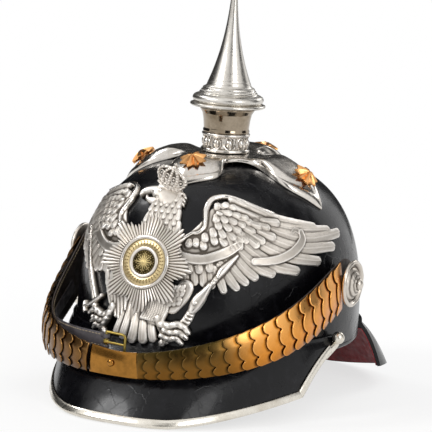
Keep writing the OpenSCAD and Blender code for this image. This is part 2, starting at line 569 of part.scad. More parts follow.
module eagle_plate() color([0.86, 0.85, 0.83]) at_rim() {
    for (m = [-1, 1]) wing(m);
    // Breast, neck and head, then the beak turned to the wearer's right
    stroke([[-2, 34, 13, breast_lift - 0.4], [-1, 52, 17, breast_lift], [0, 68, 15, breast_lift],
        [0.5, 80, 11, 2.4], [0, 91, 9.2, 2.4], [-3, 98.4, 7.4, 2.4]], 1);
    stroke([[-8, 100, 4.4, 3.4], [-15.6, 100.2, 2.8, 3], [-18.8, 97.4, 1.2, 2.6]], 1);
    stroke([[-7, 95.2, 2.8, 3], [-13.6, 95.8, 1.4, 2.4]], 1);
    eagle_crown();
    // Tail
    for (i = [0:4]) stroke([[lerp(-7.4, 2.2, i / 4), 32, 3.4, 1.4],
        [lerp(-13, 4.6, i / 4), 6.6 + abs(i - 2) * 1.4, 3.3, 1.2]], 2);
    // Legs, with claws that hold the sword and the sceptre
    stroke([[-9, 40, 8, 1.6], [-14, 30, 6, 1.6], [-19, 24, 3.4, 1.6]], 1);
    stroke([[4, 42, 8, 1.8], [11, 33, 6, 1.8], [9.4, 20, 3, 1.6]], 1);
    for (i = [-1:1]) {
        stroke([[-17.2, 17 + i * 3.6, 1.4, 2.2], [-25.4, 13.8 + i * 4, 1.2, 2.2]], 1);
        stroke([[9, 16.8 + i * 4, 1.4, 2.4], [17.6, 14 + i * 4, 1.2, 2.4]], 1);
    }
    stroke([[-19.2, 6, 2.4, 2.2], [-26.6, 25, 1.8, 2.2], [-35.6, 52, 2.3, 1.6], [-47.6, 70, 1.4, 1.2]]);
    stroke([[-33.6, 17.4, 2, 2.4], [-22.4, 29.8, 1.9, 2.4]], 1);
    stroke([[8.6, 5.4, 2.2, 2.2], [15.6, 18, 2.6, 2], [18.8, 26, 4.2, 2.2], [23.6, 39.6, 1.8, 2],
        [29.6, 54.6, 2.4, 2.4], [35.4, 65.4, 1, 2]], 1);
}

// Guard star: bundles of rays with a ring and a raised middle
guard_a = -1.4;
guard_lift = breast_lift + plate_t - 0.2;
module on_guard() stand(on_side(guard_a, guard_z, guard_lift), skull_n(side_p(guard_a, guard_z)))
    rotate([0, 0, 90]) children();
rays = 24;
module guard_star() {
    n = 2 * rays;
    ring = [for (i = [0:n - 1]) let (a = i * 180 / rays,
        r = guard_r * (0.88 + 0.12 * cos(8 * a)) - (i % 2) * 1.8) [r * cos(a), r * sin(a)]];
    core = ring_r - 2;
    color([0.86, 0.85, 0.83]) at_rim() on_guard() sheet(
        [[for (q = ring) [q.x, q.y, 0.9]], [for (q = ring) let (u = unit(q)) [core * u.x, core * u.y, 2.2]],
            [for (q = ring) let (u = unit(q)) [3 * u.x, 3 * u.y, 2.2]]],
        [[for (q = ring) [q.x, q.y, 0]], [for (q = ring) let (u = unit(q)) [core * u.x, core * u.y, 0.6]],
            [for (q = ring) let (u = unit(q)) [3 * u.x, 3 * u.y, 0.6]]], true);
}
module star_ring() color([0.86, 0.85, 0.83]) at_rim() on_guard() translate([0, 0, 2.25])
    rotate_extrude() polygon([[ring_r - 2.4, 0], [ring_r, 0], [ring_r, 1.4], [ring_r - 0.7, 2.1],
        [ring_r - 1.8, 2.1], [ring_r - 2.4, 1.3]]);
module star_centre() {
    r = ring_r - 2.4 - seat;
    color(gilt) at_rim() on_guard() translate([0, 0, 2.25]) rotate_extrude() polygon([
        [0, 0], [r, 0], [r, 0.9], [r * 0.62, 1.1], [r * 0.6, 2], [r * 0.52, 2], [r * 0.5, 1.4],
        [r * 0.25, 2.1], [0, 2.3]]);
}
post_l = leather_t + 4 * seat + nut_h + 1.2;
module plate_posts() color([0.72, 0.6, 0.35]) at_rim() for (q = post_places)
    stand(on_side(q[0], q[1], -post_l), skull_n(side_p(q[0], q[1])))
        cylinder(r = shank_d / 2, h = post_l, $fn = 16);
module plate_nuts() color([0.72, 0.6, 0.35]) at_rim() for (q = post_places)
    stand(on_side(q[0], q[1], -leather_t - 3 * seat - nut_h), skull_n(side_p(q[0], q[1]))) nut();

// Chinscale loop: a path from one rosette round the front to the other, t from -90 to 90

pivot_x = half_w + 1.6 + strap_t;
// It falls away steeply on the wearer's right and hangs in a longer curve on the left
function loop_p(t) = let (s = abs(sin(t)), c = max(0, cos(t)), b = t < 0 ? 5 : -14)
    [sign(t) * pivot_x * s - b * pow(sin(2 * t), 2),
        -pivot_y - (loop_reach - pivot_y) * pow(c, t < 0 ? 0.95 : 1.18),
        pivot_z - loop_drop * (t < 0 ? 1 - pow(1 - c, 3) - 0.4 * c * (1 - c) : pow(c, 1.44))];
loop_n = 60;
loop_t = [for (i = [0:loop_n]) -90 + 180 * i / loop_n];
loop_pts = [for (t = loop_t) loop_p(t)];
steps_l = [for (i = [1:loop_n]) norm(loop_pts[i] - loop_pts[i - 1])];
loop_s = [for (i = 0, s = 0; i <= loop_n; s = s + (i < loop_n ? steps_l[i] : 0), i = i + 1) s];
loop_l = loop_s[loop_n];
loop_table = [for (i = [0:loop_n]) [loop_s[i], loop_t[i]]];
loop_xyz = [for (k = [0:2]) [for (i = [0:loop_n]) [loop_s[i], loop_pts[i][k]]]];

// Place on the loop at distance s from the wearer's right rosette; its ends run straight on
function at_s(s) = let (c = min(loop_l, max(0, s)), p = [for (k = [0:2]) lookup(c, loop_xyz[k])])
    p + (s < 0 ? s * end_t(0) : s > loop_l ? (s - loop_l) * end_t(1) : [0, 0, 0]);
function end_t(k) = k == 0 ? [0, -cos(42), -sin(42)] : [0, cos(16), sin(16)];
function along(s) = s < 3 ? end_t(0) : s > loop_l - 3 ? end_t(1)
    : unit(at_s(min(loop_l, s + 6)) - at_s(max(0, s - 6)));
function outward(s) = let (t = along(s)) unit([t.y, -t.x, 0]);
function upward(s) = cross(outward(s), along(s));
function width(s) = let (t = lookup(min(loop_l, max(0, s)), loop_table))
    front_w + (scale_w - front_w) * pow(abs(sin(t)), 1.5);
function on_loop(s, w, n) = at_s(s) + upward(s) * w + outward(s) * n;
module by_loop(s, w, n) {
    p = on_loop(s, w, n);
    t = along(s);
    u = upward(s);
    o = outward(s);
    multmatrix([[t.x, u.x, o.x, p.x], [t.y, u.y, o.y, p.y], [t.z, u.z, o.z, p.z], [0, 0, 0, 1]]) children();
}
module pins(r, x0, x1) for (m = [-1, 1]) translate([m * x0, -pivot_y, pivot_z]) rotate([0, m * 90, 0])
    cylinder(r = r, h = x1 - x0);

tab_r = scale_w / 2 - 1;
module chin_leather() {
    m = 32;
    ss = concat([-tab_r * 0.98, -tab_r * 0.85, -tab_r * 0.5], [for (i = [0:m]) loop_l * i / m],
        [loop_l + tab_r * 0.5, loop_l + tab_r * 0.85, loop_l + tab_r * 0.98]);
    function hw(s) = let (o = max(0, -s, s - loop_l)) (width(s) / 2 - 1) * sqrt(max(0.02, 1 - (o / tab_r) ^ 2));
    color([0.2, 0.13, 0.09]) at_rim() difference() {
        sheet([for (s = ss) [for (v = [-1, 0, 1]) on_loop(s, v * hw(s), 0)]],
            [for (s = ss) [for (v = [-1, 0, 1]) on_loop(s, v * hw(s), -strap_t)]]);
        pins(pin_d / 2 + fit, half_w - 6, half_w + 10);
    }
}

// Scales: convex plates with three lobes, laid like tiles and pointing away from the rosette
lobe_vs = [-1, -0.74, -0.45, -0.25, 0, 0.25, 0.45, 0.74, 1];
function lobe(v) = let (a = abs(v)) a < 0.45 ? sqrt(max(0, 1 - (a / 0.45) ^ 2))
    : 0.85 * sqrt(max(0, 1 - ((a - 0.72) / 0.32) ^ 2));
tile_rise = 1.35;
first_scale = 7;
plate_s = loop_l / 2 + plate_shift;
module scale_row(side, count) {
    run = side > 0 ? loop_l - plate_s - first_scale : plate_s - front_plate_l - first_scale;
    function d(i) = let (x = i / count) first_scale + run * x * (1.18 - 0.18 * x);
    function place(dd, v, n) = let (s = side > 0 ? loop_l - dd : dd)
        on_loop(s, v * width(s) / 2, n + ease(dd / 26) * 0.085 * width(s) * (1 - v * v));
    for (i = [0:count - 1]) let (d0 = d(i), p = d(i + 1) - d0, last = i == count - 1 ? 0.02 : 0.36,
        xs = [0, 0.97, 1]) sheet(
        [for (k = [0:2]) [for (v = lobe_vs) let (x = xs[k] + (k == 2 ? last * lobe(v) : 0))
            place(d0 + x * p, v, seat + scale_t + tile_rise * x)]],
        [for (k = [0:2]) [for (v = lobe_vs) let (x = xs[k] + (k == 2 ? last * lobe(v) : 0))
            place(d0 + x * p, v, seat + tile_rise * x)]]);
}
module scales_on_left() color(gilt) at_rim() scale_row(1, scales_left);
module scales_on_right() color(gilt) at_rim() scale_row(-1, scales_right);

// Smooth end plate over the joined straps, with the stud that closes them
module front_plate() {
    n = 10;
    ss = [for (i = [0:n]) plate_s - seat - (front_plate_l - 2 * seat) * i / n];
    function up(s, v) = seat + 0.085 * front_w * (1 - v * v);
    vs = [-1, -0.6, 0, 0.6, 1];
    color(gilt) at_rim() difference() {
        sheet([for (s = ss) [for (v = vs) on_loop(s, v * width(s) / 2, up(s, v) + scale_t)]],
            [for (s = ss) [for (v = vs) on_loop(s, v * width(s) / 2, up(s, v))]]);
        by_loop(plate_s - front_plate_l / 2, 0, 0) cylinder(r = 1.3, h = 8);
    }
}
module front_stud() color(gilt) at_rim() by_loop(plate_s - front_plate_l / 2, 0, 0) {
    cylinder(r = 1.1, h = 3.2);
    translate([0, 0, 3]) rotate_extrude() polygon([[0, 0], [2.3, 0], [2.4, 0.6], [1.6, 1.5], [0, 1.8]]);
    translate([0, 0, 0.05]) cylinder(r = 2.4, h = 0.2);
}

// Narrow strap and buckle inside the loop, over the front plate's upper edge
buckle_s = plate_s - front_plate_l * 0.55;
buckle_w = front_w / 2 + 3.5;
buckle_n = -strap_t - 3;
bar_r = 0.9;
module buckle_strap() {
    m = 16;
    s0 = 40;
    s1 = buckle_s - 11.6;
    function rise(s) = buckle_w * ease((s - s0) / (s1 - s0));
    function dip(s) = -strap_t - 2 * seat - (-buckle_n - strap_t - 2 * seat - 0.35) * ease((s - s1 + 24) / 22);
    ss = [for (i = [0:m]) lerp(s0, s1, i / m)];
    color([0.2, 0.13, 0.09]) at_rim() {
        sheet([for (s = ss) [for (v = [-1, 1]) on_loop(s, rise(s) + v * 5, dip(s))]],
            [for (s = ss) [for (v = [-1, 1]) on_loop(s, rise(s) + v * 5, dip(s) - 1.6)]]);
        for (v = [-1, 1]) by_loop(buckle_s, buckle_w + v * 3.6, buckle_n)
            difference() {
                union() {
                    translate([-8, 0, 0]) rotate([90, 0, 0]) cylinder(r = bar_r + 1.5, h = 2.8, center = true);
                    translate([-12.4, -1.4, -1.2]) cube([4, 2.8, 1.8]);
                }
                translate([-8, 0, 0]) rotate([90, 0, 0]) cylinder(r = bar_r + fit, h = 4, center = true);
            }
    }
}
module buckle_frame() color(gilt) at_rim() by_loop(buckle_s, buckle_w, buckle_n) {
    difference() {
        translate([-8, -7.5, -0.9]) cube([16, 15, 1.8]);
        translate([-9, -5.6, -2]) cube([15.1, 11.2, 4]);
    }
    translate([-8, 0, 0]) rotate([90, 0, 0]) cylinder(r = bar_r, h = 15, center = true);
}
module buckle_tongue() color(gilt) at_rim() by_loop(buckle_s, buckle_w, buckle_n) {
    translate([-8, 0, 0]) rotate([90, 0, 0]) difference() {
        cylinder(r = bar_r + 1.1, h = 3, center = true);
        cylinder(r = bar_r + fit, h = 5, center = true);
    }
    translate([-7.6, -0.8, 1.05]) cube([15, 1.6, 0.9]);
}

// Rosettes, each a stepped dome on a screw through the skull

screw_in = half_w - leather_t - 10.8;
rose_x = pivot_x + seat;
module rosettes() color(silver) at_rim() for (m = [-1, 1]) translate([m * rose_x, -pivot_y, pivot_z])
    rotate([0, m * 90, 0]) rotate_extrude() polygon([[pin_d / 2 + seat, 0], [5.4, 0], [6, 3.4],
        [rosette_r - 4, 4.6], [rosette_r - 0.8, 4.6], [rosette_r, 5.4], [rosette_r, 6.6],
        [rosette_r - 1.2, 7.4], [rosette_r - 3, 7.2], [rosette_r - 4.4, 6.4], [rosette_r - 5.4, 6.6],
        [rosette_r - 7.4, 8.3], [rosette_r - 9.2, 9.8], [pin_d / 2 + 2.2, 10.5],
        [pin_d / 2 + seat, 10.6]]);
module rosette_screws() color(silver) at_rim() {
    pins(pin_d / 2, screw_in, rose_x + 11);
    for (m = [-1, 1]) translate([m * (rose_x + 10.7), -pivot_y, pivot_z]) rotate([0, m * 90, 0])
        rotate_extrude() polygon([[0, 0], [pin_d / 2 + 1.6, 0], [pin_d / 2 + 1.2, 1.6],
            [pin_d / 2 - 0.4, 2.6], [0, 3]]);
}
module rosette_nuts() color([0.72, 0.6, 0.35]) at_rim() for (m = [-1, 1])
    translate([m * (screw_in + 0.8), -pivot_y, pivot_z]) rotate([0, m * 90, 0]) difference() {
        union() {
            cylinder(r = pin_d / 2 + 3, h = 3.4, $fn = 6);
            translate([0, 0, 3.3]) cylinder(r = pin_d / 2 + 4.5, h = 1.2);
        }
        translate([0, 0, -1]) cylinder(r = pin_d / 2 + fit, h = 8);
    }

// Lining of the skull

band_lean = 13.5;
module sweatband() color([0.42, 0.28, 0.17]) at_rim() {
    in = leather_t + seat;
    oval_solid([[in + 0.3, 0.4], [in + 10, 26], [in + band_lean, band_h], [in + band_lean + band_t, band_h],
        [in + 10 + band_t, 26], [in + 0.3 + band_t, 0.4]]);
}
silk_in = leather_t + seat + band_lean;
silk_t = 1;
silk_reach = half_w - silk_in - 24;
string_d = 2.2;
module silk_liner() color([0.78, 0.74, 0.66]) at_rim() oval_solid(concat(
    [for (f = [0:18:90]) [silk_in + silk_reach * (1 - cos(f)), band_h + seat + silk_h * sin(f)]],
    [for (f = [90:-18:0]) [silk_in + silk_t + (silk_reach - silk_t) * (1 - cos(f)),
        band_h + seat + (silk_h - silk_t) * sin(f)]]), 24);
module drawstring() color([0.7, 0.66, 0.56]) at_rim() oval_solid([for (f = [0:60:300])
    [silk_in + silk_reach + seat + string_d / 2 * (1 - cos(f)),
        band_h + seat + silk_h - string_d / 2 + string_d / 2 * sin(f)]], 24);

skull();
edge_roll();
front_visor();
front_lining();
visor_trim();
trim_balls();
rear_visor();
rear_lining();
rear_spine();
spine_screw();
spike_base();
star_studs();
stud_nuts();
pearl_ring();
spike_neck();
neck_washer();
neck_nut();
spike_screw();
spike();
eagle_plate();
guard_star();
star_ring();
star_centre();
plate_posts();
plate_nuts();
rosette_screws();
rosette_nuts();
rosettes();
chin_leather();
scales_on_left();
scales_on_right();
front_plate();
front_stud();
buckle_strap();
buckle_frame();
buckle_tongue();
sweatband();
silk_liner();
drawstring();
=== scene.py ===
"""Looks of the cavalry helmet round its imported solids. Shapes are worked out in millimetres over the skull's
lower edge, and put() lifts them to the row frame in metres."""
import math
import bpy
import numpy as np
from mathutils import Matrix, Vector


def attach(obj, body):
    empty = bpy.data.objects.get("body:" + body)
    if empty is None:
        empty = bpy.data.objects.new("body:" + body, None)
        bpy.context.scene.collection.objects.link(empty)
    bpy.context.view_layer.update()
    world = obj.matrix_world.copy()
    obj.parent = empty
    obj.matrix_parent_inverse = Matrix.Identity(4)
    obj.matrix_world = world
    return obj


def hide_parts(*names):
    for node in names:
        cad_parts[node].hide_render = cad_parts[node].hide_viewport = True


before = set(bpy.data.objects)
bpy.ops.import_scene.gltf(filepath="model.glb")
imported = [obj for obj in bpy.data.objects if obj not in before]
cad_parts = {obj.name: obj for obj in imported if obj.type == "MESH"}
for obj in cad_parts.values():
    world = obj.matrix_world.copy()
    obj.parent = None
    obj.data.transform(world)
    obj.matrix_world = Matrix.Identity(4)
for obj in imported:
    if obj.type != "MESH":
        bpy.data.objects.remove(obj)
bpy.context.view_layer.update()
scene = bpy.context.scene
scene.view_settings.view_transform = "Standard"

# Camera: 25.5 degrees to the wearer's left, 9 degrees up, leaning 3.6 degrees
AZ, EL, ROLL = math.radians(25.5), math.radians(9.0), math.radians(-3.6)
CAMERA_FAR, AIM_Z, SENSOR = 2.0, 0.1082, 36
FOCAL_PX, PHOTO_PX = 2840, 432
back = Vector((math.sin(AZ) * math.cos(EL), -math.cos(AZ) * math.cos(EL), math.sin(EL)))
right = Vector((math.cos(AZ), math.sin(AZ), 0))
up = back.cross(right)
right2 = right * math.cos(ROLL) - up * math.sin(ROLL)
up2 = up * math.cos(ROLL) + right * math.sin(ROLL)
cam = bpy.data.objects.new("camera", bpy.data.cameras.new("camera"))
scene.collection.objects.link(cam)
cam.matrix_world = Matrix.Translation(Vector((0, 0, AIM_Z)) + back * CAMERA_FAR) @ Matrix(
    [[right2.x, up2.x, back.x, 0], [right2.y, up2.y, back.y, 0], [right2.z, up2.z, back.z, 0], [0, 0, 0, 1]])
cam.data.sensor_width = SENSOR
cam.data.lens = FOCAL_PX / PHOTO_PX * SENSOR
cam.data.shift_x, cam.data.shift_y = -0.0081, 0.0475
cam.data.clip_start, cam.data.clip_end = 0.1, 20
scene.camera = cam

# Sizes that repeat the part's own, in millimetres: the skull's lower edge over the table, its half width,
# half length, shift to the back, height and squareness, its thickness, and the gap between seated pieces
RIM = 44.2
HALF_W, HALF_L, BACK, TOP, FULL = 96.0, 115.0, 7.0, 120.0, 2.8
SKULL_T, SEAT = 2.6, 0.25


# Shape maths

def arr(v):
    return np.asarray(v, float)


def unit(v):
    return v / np.maximum(1e-9, np.linalg.norm(v, axis=-1, keepdims=True))


def lerp(a, b, t):
    return a + (b - a) * t


def ease(t):
    t = np.clip(t, 0, 1)
    return t * t * (3 - 2 * t)


def around(n):
    return np.linspace(0, 2 * math.pi, n, endpoint=False)


def arc(x, y, rx, ry, first, last, step):
    """Points of a round corner, by its middle, its two radii and its angles in degrees."""
    return [[x + rx * math.cos(q), y + ry * math.sin(q)] for q in np.radians(np.arange(first, last, step))]


def spun(v, angle):
    """Points turned about Z."""
    c, s = math.cos(angle), math.sin(angle)
    return v @ arr([[c, s, 0], [-s, c, 0], [0, 0, 1]])


def slice_at(h):
    """Share of the lower edge's oval that is left at a height."""
    return np.maximum(0, 1 - (np.maximum(0, h) / TOP) ** FULL) ** (1 / FULL)


def side(a, h):
    """Point of the skull at an azimuth from the front, in degrees towards the wearer's left, and a height."""
    a, h = np.broadcast_arrays(arr(a), arr(h))
    r, t = slice_at(h), np.radians(a)
    return np.stack([HALF_W * r * np.sin(t), BACK - HALF_L * r * np.cos(t), h], -1)


def crown(x, y):
    """Point of the skull over a place of its plan."""
    x, y = np.broadcast_arrays(arr(x), arr(y))
    o = np.hypot(x / HALF_W, (y - BACK) / HALF_L)
    return np.stack([x, y, TOP * np.maximum(0, 1 - o ** FULL) ** (1 / FULL)], -1)


def skull_n(p):
    """Outward directions at points of the skull."""
    o = np.hypot(p[..., 0] / HALF_W, (p[..., 1] - BACK) / HALF_L)
    g = np.maximum(0.01, o) ** (FULL - 2)
    return unit(np.stack([p[..., 0] / HALF_W ** 2 * g, (p[..., 1] - BACK) / HALF_L ** 2 * g,
                          np.maximum(0, p[..., 2]) ** (FULL - 1) / TOP ** FULL], -1))


def on_side(a, h, lift):
    p = side(a, h)
    return p + skull_n(p) * arr(lift)[..., None]


def on_crown(x, y, lift):
    p = crown(x, y)
    return p + skull_n(p) * arr(lift)[..., None]


def wall(a, z, lift):
    """Point off the lower edge's outline, at a height of its own."""
    p = side(a, 0)
    q = p + skull_n(p) * arr(lift)[..., None]
    return np.stack([q[..., 0], q[..., 1], np.broadcast_to(arr(z), q[..., 0].shape)], -1)


def grid_faces(rows, cols, wrap_c=False, wrap_r=False):
    """Quads between the neighbours of a grid, which may wrap either way."""
    r, c = rows - (0 if wrap_r else 1), cols - (0 if wrap_c else 1)
    i, j = np.meshgrid(np.arange(r), np.arange(c), indexing="ij")
    i, j = i.ravel(), j.ravel()
    i2, j2 = (i + 1) % rows, (j + 1) % cols
    return np.stack([i * cols + j, i * cols + j2, i2 * cols + j2, i2 * cols + j], -1)


def shell(a, b, wrap=False):
    """Closed sheet between an outer and an inner grid of points."""
    r, c = a.shape[:2]
    n = r * c
    fa = grid_faces(r, c, wrap)
    fb = grid_faces(r, c, wrap)[:, ::-1] + n
    j = np.arange(c if wrap else c - 1)
    l = (j + 1) % c
    o = (r - 1) * c
    rims = [np.stack([l, j, n + j, n + l], -1), np.stack([o + j, o + l, n + o + l, n + o + j], -1)]
    if not wrap:
        i = np.arange(r - 1)
        rims += [np.stack([i * c, (i + 1) * c, n + (i + 1) * c, n + i * c], -1),
                 np.stack([(i + 1) * c + c - 1, i * c + c - 1, n + i * c + c - 1, n + (i + 1) * c + c - 1],
                          -1)]
    return np.concatenate([a.reshape(-1, 3), b.reshape(-1, 3)]), np.concatenate([fa, fb] + rims)


def tube(rings, closed=False):
    """Surface through rings of points; a loop when closed."""
    rings = arr(rings)
    r, c = rings.shape[:2]
    faces = grid_faces(r, c, True, closed).tolist()
    if not closed:
        faces += [list(range(c))[::-1], [(r - 1) * c + k for k in range(c)]]
    return rings.reshape(-1, 3), faces


def join(*parts):
    """Several parts as one."""
    verts, faces, n = [], [], 0
    for v, f in parts:
        verts.append(arr(v))
        faces += [[int(i) + n for i in q] for q in (f.tolist() if hasattr(f, "tolist") else f)]
        n += len(v)
    return np.concatenate(verts), faces


def curve(path, step=4):
    """Smooth path through the given points, by Catmull-Rom."""
    p = arr(path)
    if len(p) < 3:
        t = np.linspace(0, 1, step + 1)[:, None]
        return lerp(p[0], p[1], t)
    q = np.concatenate([[2 * p[0] - p[1]], p, [2 * p[-1] - p[-2]]])
    out = []
    for i in range(1, len(q) - 2):
        for t in np.arange(step) / step:
            out.append(0.5 * (2 * q[i] + (q[i + 1] - q[i - 1]) * t
                              + (2 * q[i - 1] - 5 * q[i] + 4 * q[i + 1] - q[i + 2]) * t ** 2
                              + (3 * q[i] - q[i - 1] - 3 * q[i + 1] + q[i + 2]) * t ** 3))
    out.append(p[-1])
    return arr(out)


def rounded(points, radius, steps=3):
    """Outline with each corner turned into a small arc."""
    pts, out, n = arr(points), [], len(points)
    for i in range(n):
        p = pts[i]
        if i in (0, n - 1):
            out.append(p)
            continue
        u, v = pts[i - 1] - p, pts[i + 1] - p
        lu, lv = np.linalg.norm(u), np.linalg.norm(v)
        r = min(radius, lu * 0.45, lv * 0.45)
        s, e = p + u / lu * r, p + v / lv * r
        for k in range(steps + 1):
            t = k / steps
            out.append((1 - t) ** 2 * s + 2 * t * (1 - t) * p + t * t * e)
    return arr(out)


def lathe(profile, n=96):
    """Turned form about Z from [radius, height] points; points on the axis are closed."""
    pr = arr(profile)
    t = around(n)
    rings = np.stack([np.outer(pr[:, 0], np.cos(t)), np.outer(pr[:, 0], np.sin(t)),
                      np.repeat(pr[:, 1:2], n, 1)], -1)
    return rings.reshape(-1, 3), grid_faces(len(pr), n, True).tolist()


def placed(part, origin, z_axis):
    """Moves a part's verts so that its Z lies along z_axis and its X points up as far as it can."""
    v, f = part
    z, world_z = unit(arr(z_axis)), arr([0, 0, 1])
    x = world_z - z * np.dot(world_z, z)
    if np.linalg.norm(x) < 1e-6:
        x = np.cross([0, 1, 0], z)
    x = unit(x)
    y = np.cross(z, x)
    return arr(v) @ np.stack([x, y, z]) + arr(origin), f


def swept(path, radius, n=10, closed=False, flat=1.0, normal=None):
    """Rod along a path; flat squeezes it along the normal, which is Z unless given."""
    p = arr(path)
    m = len(p)
    nxt, prv = (np.roll(p, -1, 0), np.roll(p, 1, 0)) if closed else (
        np.concatenate([p[1:], p[-1:]]), np.concatenate([p[:1], p[:-1]]))
    t = unit(nxt - prv)
    nn = np.broadcast_to(arr([0, 0, 1]) if normal is None else arr(normal), p.shape)
    s = unit(np.cross(t, nn))
    nn = np.cross(s, t)
    r = np.broadcast_to(arr(radius), (m,))
    a = around(n)
    rings = p[:, None] + s[:, None] * np.cos(a)[None, :, None] * r[:, None, None] \
        + nn[:, None] * np.sin(a)[None, :, None] * r[:, None, None] * flat
    return tube(rings, closed)


def ball(radius, n=20, rows=12, squash=(1, 1, 1)):
    f = np.linspace(-math.pi / 2, math.pi / 2, rows)
    v, q = lathe(np.stack([np.cos(f) * radius, np.sin(f) * radius], -1), n)
    return v * arr(squash), q


def put(name, part, material, body="helmet", nodes=(), smooth=40, attrs=None):
    """Makes a piece from millimetre verts over the rim and hangs it on its body."""
    v, f = part
    me = bpy.data.meshes.new(name)
    co = (arr(v) + [0, 0, RIM]) / 1000
    me.from_pydata(co.tolist(), [], [list(map(int, q)) for q in (f.tolist() if hasattr(f, "tolist") else f)])
    for key, values in (attrs or {}).items():
        me.attributes.new(key, "FLOAT", "POINT").data.foreach_set("value", np.asarray(values, np.float32))
    me.validate()
    me.polygons.foreach_set("use_smooth", [True] * len(me.polygons))
    me.update()
    if smooth:
        me.set_sharp_from_angle(angle=math.radians(smooth))
    o = bpy.data.objects.new(name, me)
    scene.collection.objects.link(o)
    o.data.materials.append(material)
    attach(o, body)
    if nodes:
        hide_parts(*nodes)
    return o


# Materials

class Mat:
    """Small helper that wires one principled material."""

    def __init__(self, name, color, rough=0.4, metal=0.0, coat=0.0, coat_rough=0.1, spec=0.5):
        self.m = bpy.data.materials.new(name)
        self.m.use_nodes = True
        self.t = self.m.node_tree
        self.p = self.t.nodes["Principled BSDF"]
        self.set("Base Color", (*color, 1))
        self.set("Roughness", rough)
        self.set("Metallic", metal)
        self.set("Coat Weight", coat)
        self.set("Coat Roughness", coat_rough)
        self.set("Specular IOR Level", spec)
        self.co = self.node("ShaderNodeTexCoord").outputs["Object"]
        self.height = None

    def set(self, key, value):
        self.p.inputs[key].default_value = value

    def node(self, kind, ins=None, **props):
        """New node with its settings and its inputs, each a value or another node's socket."""
        n = self.t.nodes.new(kind)
        for k, v in props.items():
            setattr(n, k, v)
        for k, v in (ins or {}).items():
            if isinstance(v, bpy.types.NodeSocket):
                self.t.links.new(v, n.inputs[k])
            else:
                n.inputs[k].default_value = v
        return n

    def noise(self, scale, detail=3.0, rough=0.5, co=None):
        return self.node("ShaderNodeTexNoise", {"Vector": co or self.co, "Scale": scale, "Detail": detail,
                                                "Roughness": rough}).outputs["Fac"]

    def cells(self, scale, feature, co=None):
        return self.node("ShaderNodeTexVoronoi", {"Vector": co or self.co, "Scale": scale},
                         feature=feature).outputs["Distance"]

    def stretch(self, *scale):
        return self.node("ShaderNodeMapping", {"Vector": self.co, "Scale": scale}).outputs["Vector"]

    def ramp(self, fac, *stops):
        n = self.node("ShaderNodeValToRGB", {"Fac": fac})
        e = n.color_ramp.elements
        while len(e) < len(stops):
            e.new(0.5)
        for k, (pos, col) in enumerate(stops):
            e[k].position = pos
            e[k].color = (*col, 1) if isinstance(col, tuple) else (col, col, col, 1)
        return n.outputs["Color"]

    def math(self, op, a, b=0.0):
        return self.node("ShaderNodeMath", {0: a, 1: b}, operation=op).outputs[0]

    def mix(self, fac, a, b):
        """Blend of two colours; a Mix node's colours are its inputs 6 and 7."""
        a, b = [(*c, 1) if isinstance(c, tuple) else c for c in (a, b)]
        return self.node("ShaderNodeMix", {0: fac, 6: a, 7: b}, data_type="RGBA").outputs[2]

    def link(self, out, key):
        self.t.links.new(out, self.p.inputs[key])

    def bump(self, height, strength, distance=0.0003):
        ins = {"Height": height, "Strength": strength, "Distance": distance}
        if self.height:
            ins["Normal"] = self.height
        self.height = self.node("ShaderNodeBump", ins).outputs["Normal"]
        self.link(self.height, "Normal")

    def attr(self, name):
        return self.node("ShaderNodeAttribute", attribute_name=name).outputs["Fac"]


def patent(name, craze=1.0):
    """Black lacquered leather, softly dented, with a net of fine cracks in places."""
    base = (0.002, 0.002, 0.003)
    m = Mat(name, base, rough=0.24, coat=0.16, coat_rough=0.1, spec=0.2)
    cloud = m.node("ShaderNodeTexNoise", {"Vector": m.co, "Scale": 60.0, "Detail": 3.0}).outputs["Color"]
    shift = m.node("ShaderNodeVectorMath", {0: cloud, 1: (0.02, 0.02, 0.02)}, operation="MULTIPLY").outputs[0]
    warp = m.node("ShaderNodeVectorMath", {0: m.co, 1: shift}, operation="ADD").outputs[0]
    crack = m.ramp(m.cells(70, "DISTANCE_TO_EDGE", warp), (0.0, 1.0), (0.035, 0.0))
    where = m.ramp(m.noise(22, 2), (0.45, 0.0), (0.62, 1.0))
    m.bump(m.math("MULTIPLY", crack, where), 0.4 * craze, 0.0004)
    m.bump(m.noise(38, 4, 0.6), 0.16, 0.0016)
    m.bump(m.noise(900, 2), 0.05, 0.0001)
    m.link(m.ramp(m.noise(45, 5, 0.65), (0.35, 0.17), (0.7, 0.38)), "Roughness")
    m.link(m.mix(m.ramp(m.noise(120, 4), (0.55, 0.0), (0.75, 1.0)), base, (0.008, 0.008, 0.01)), "Base Color")
    return m.m


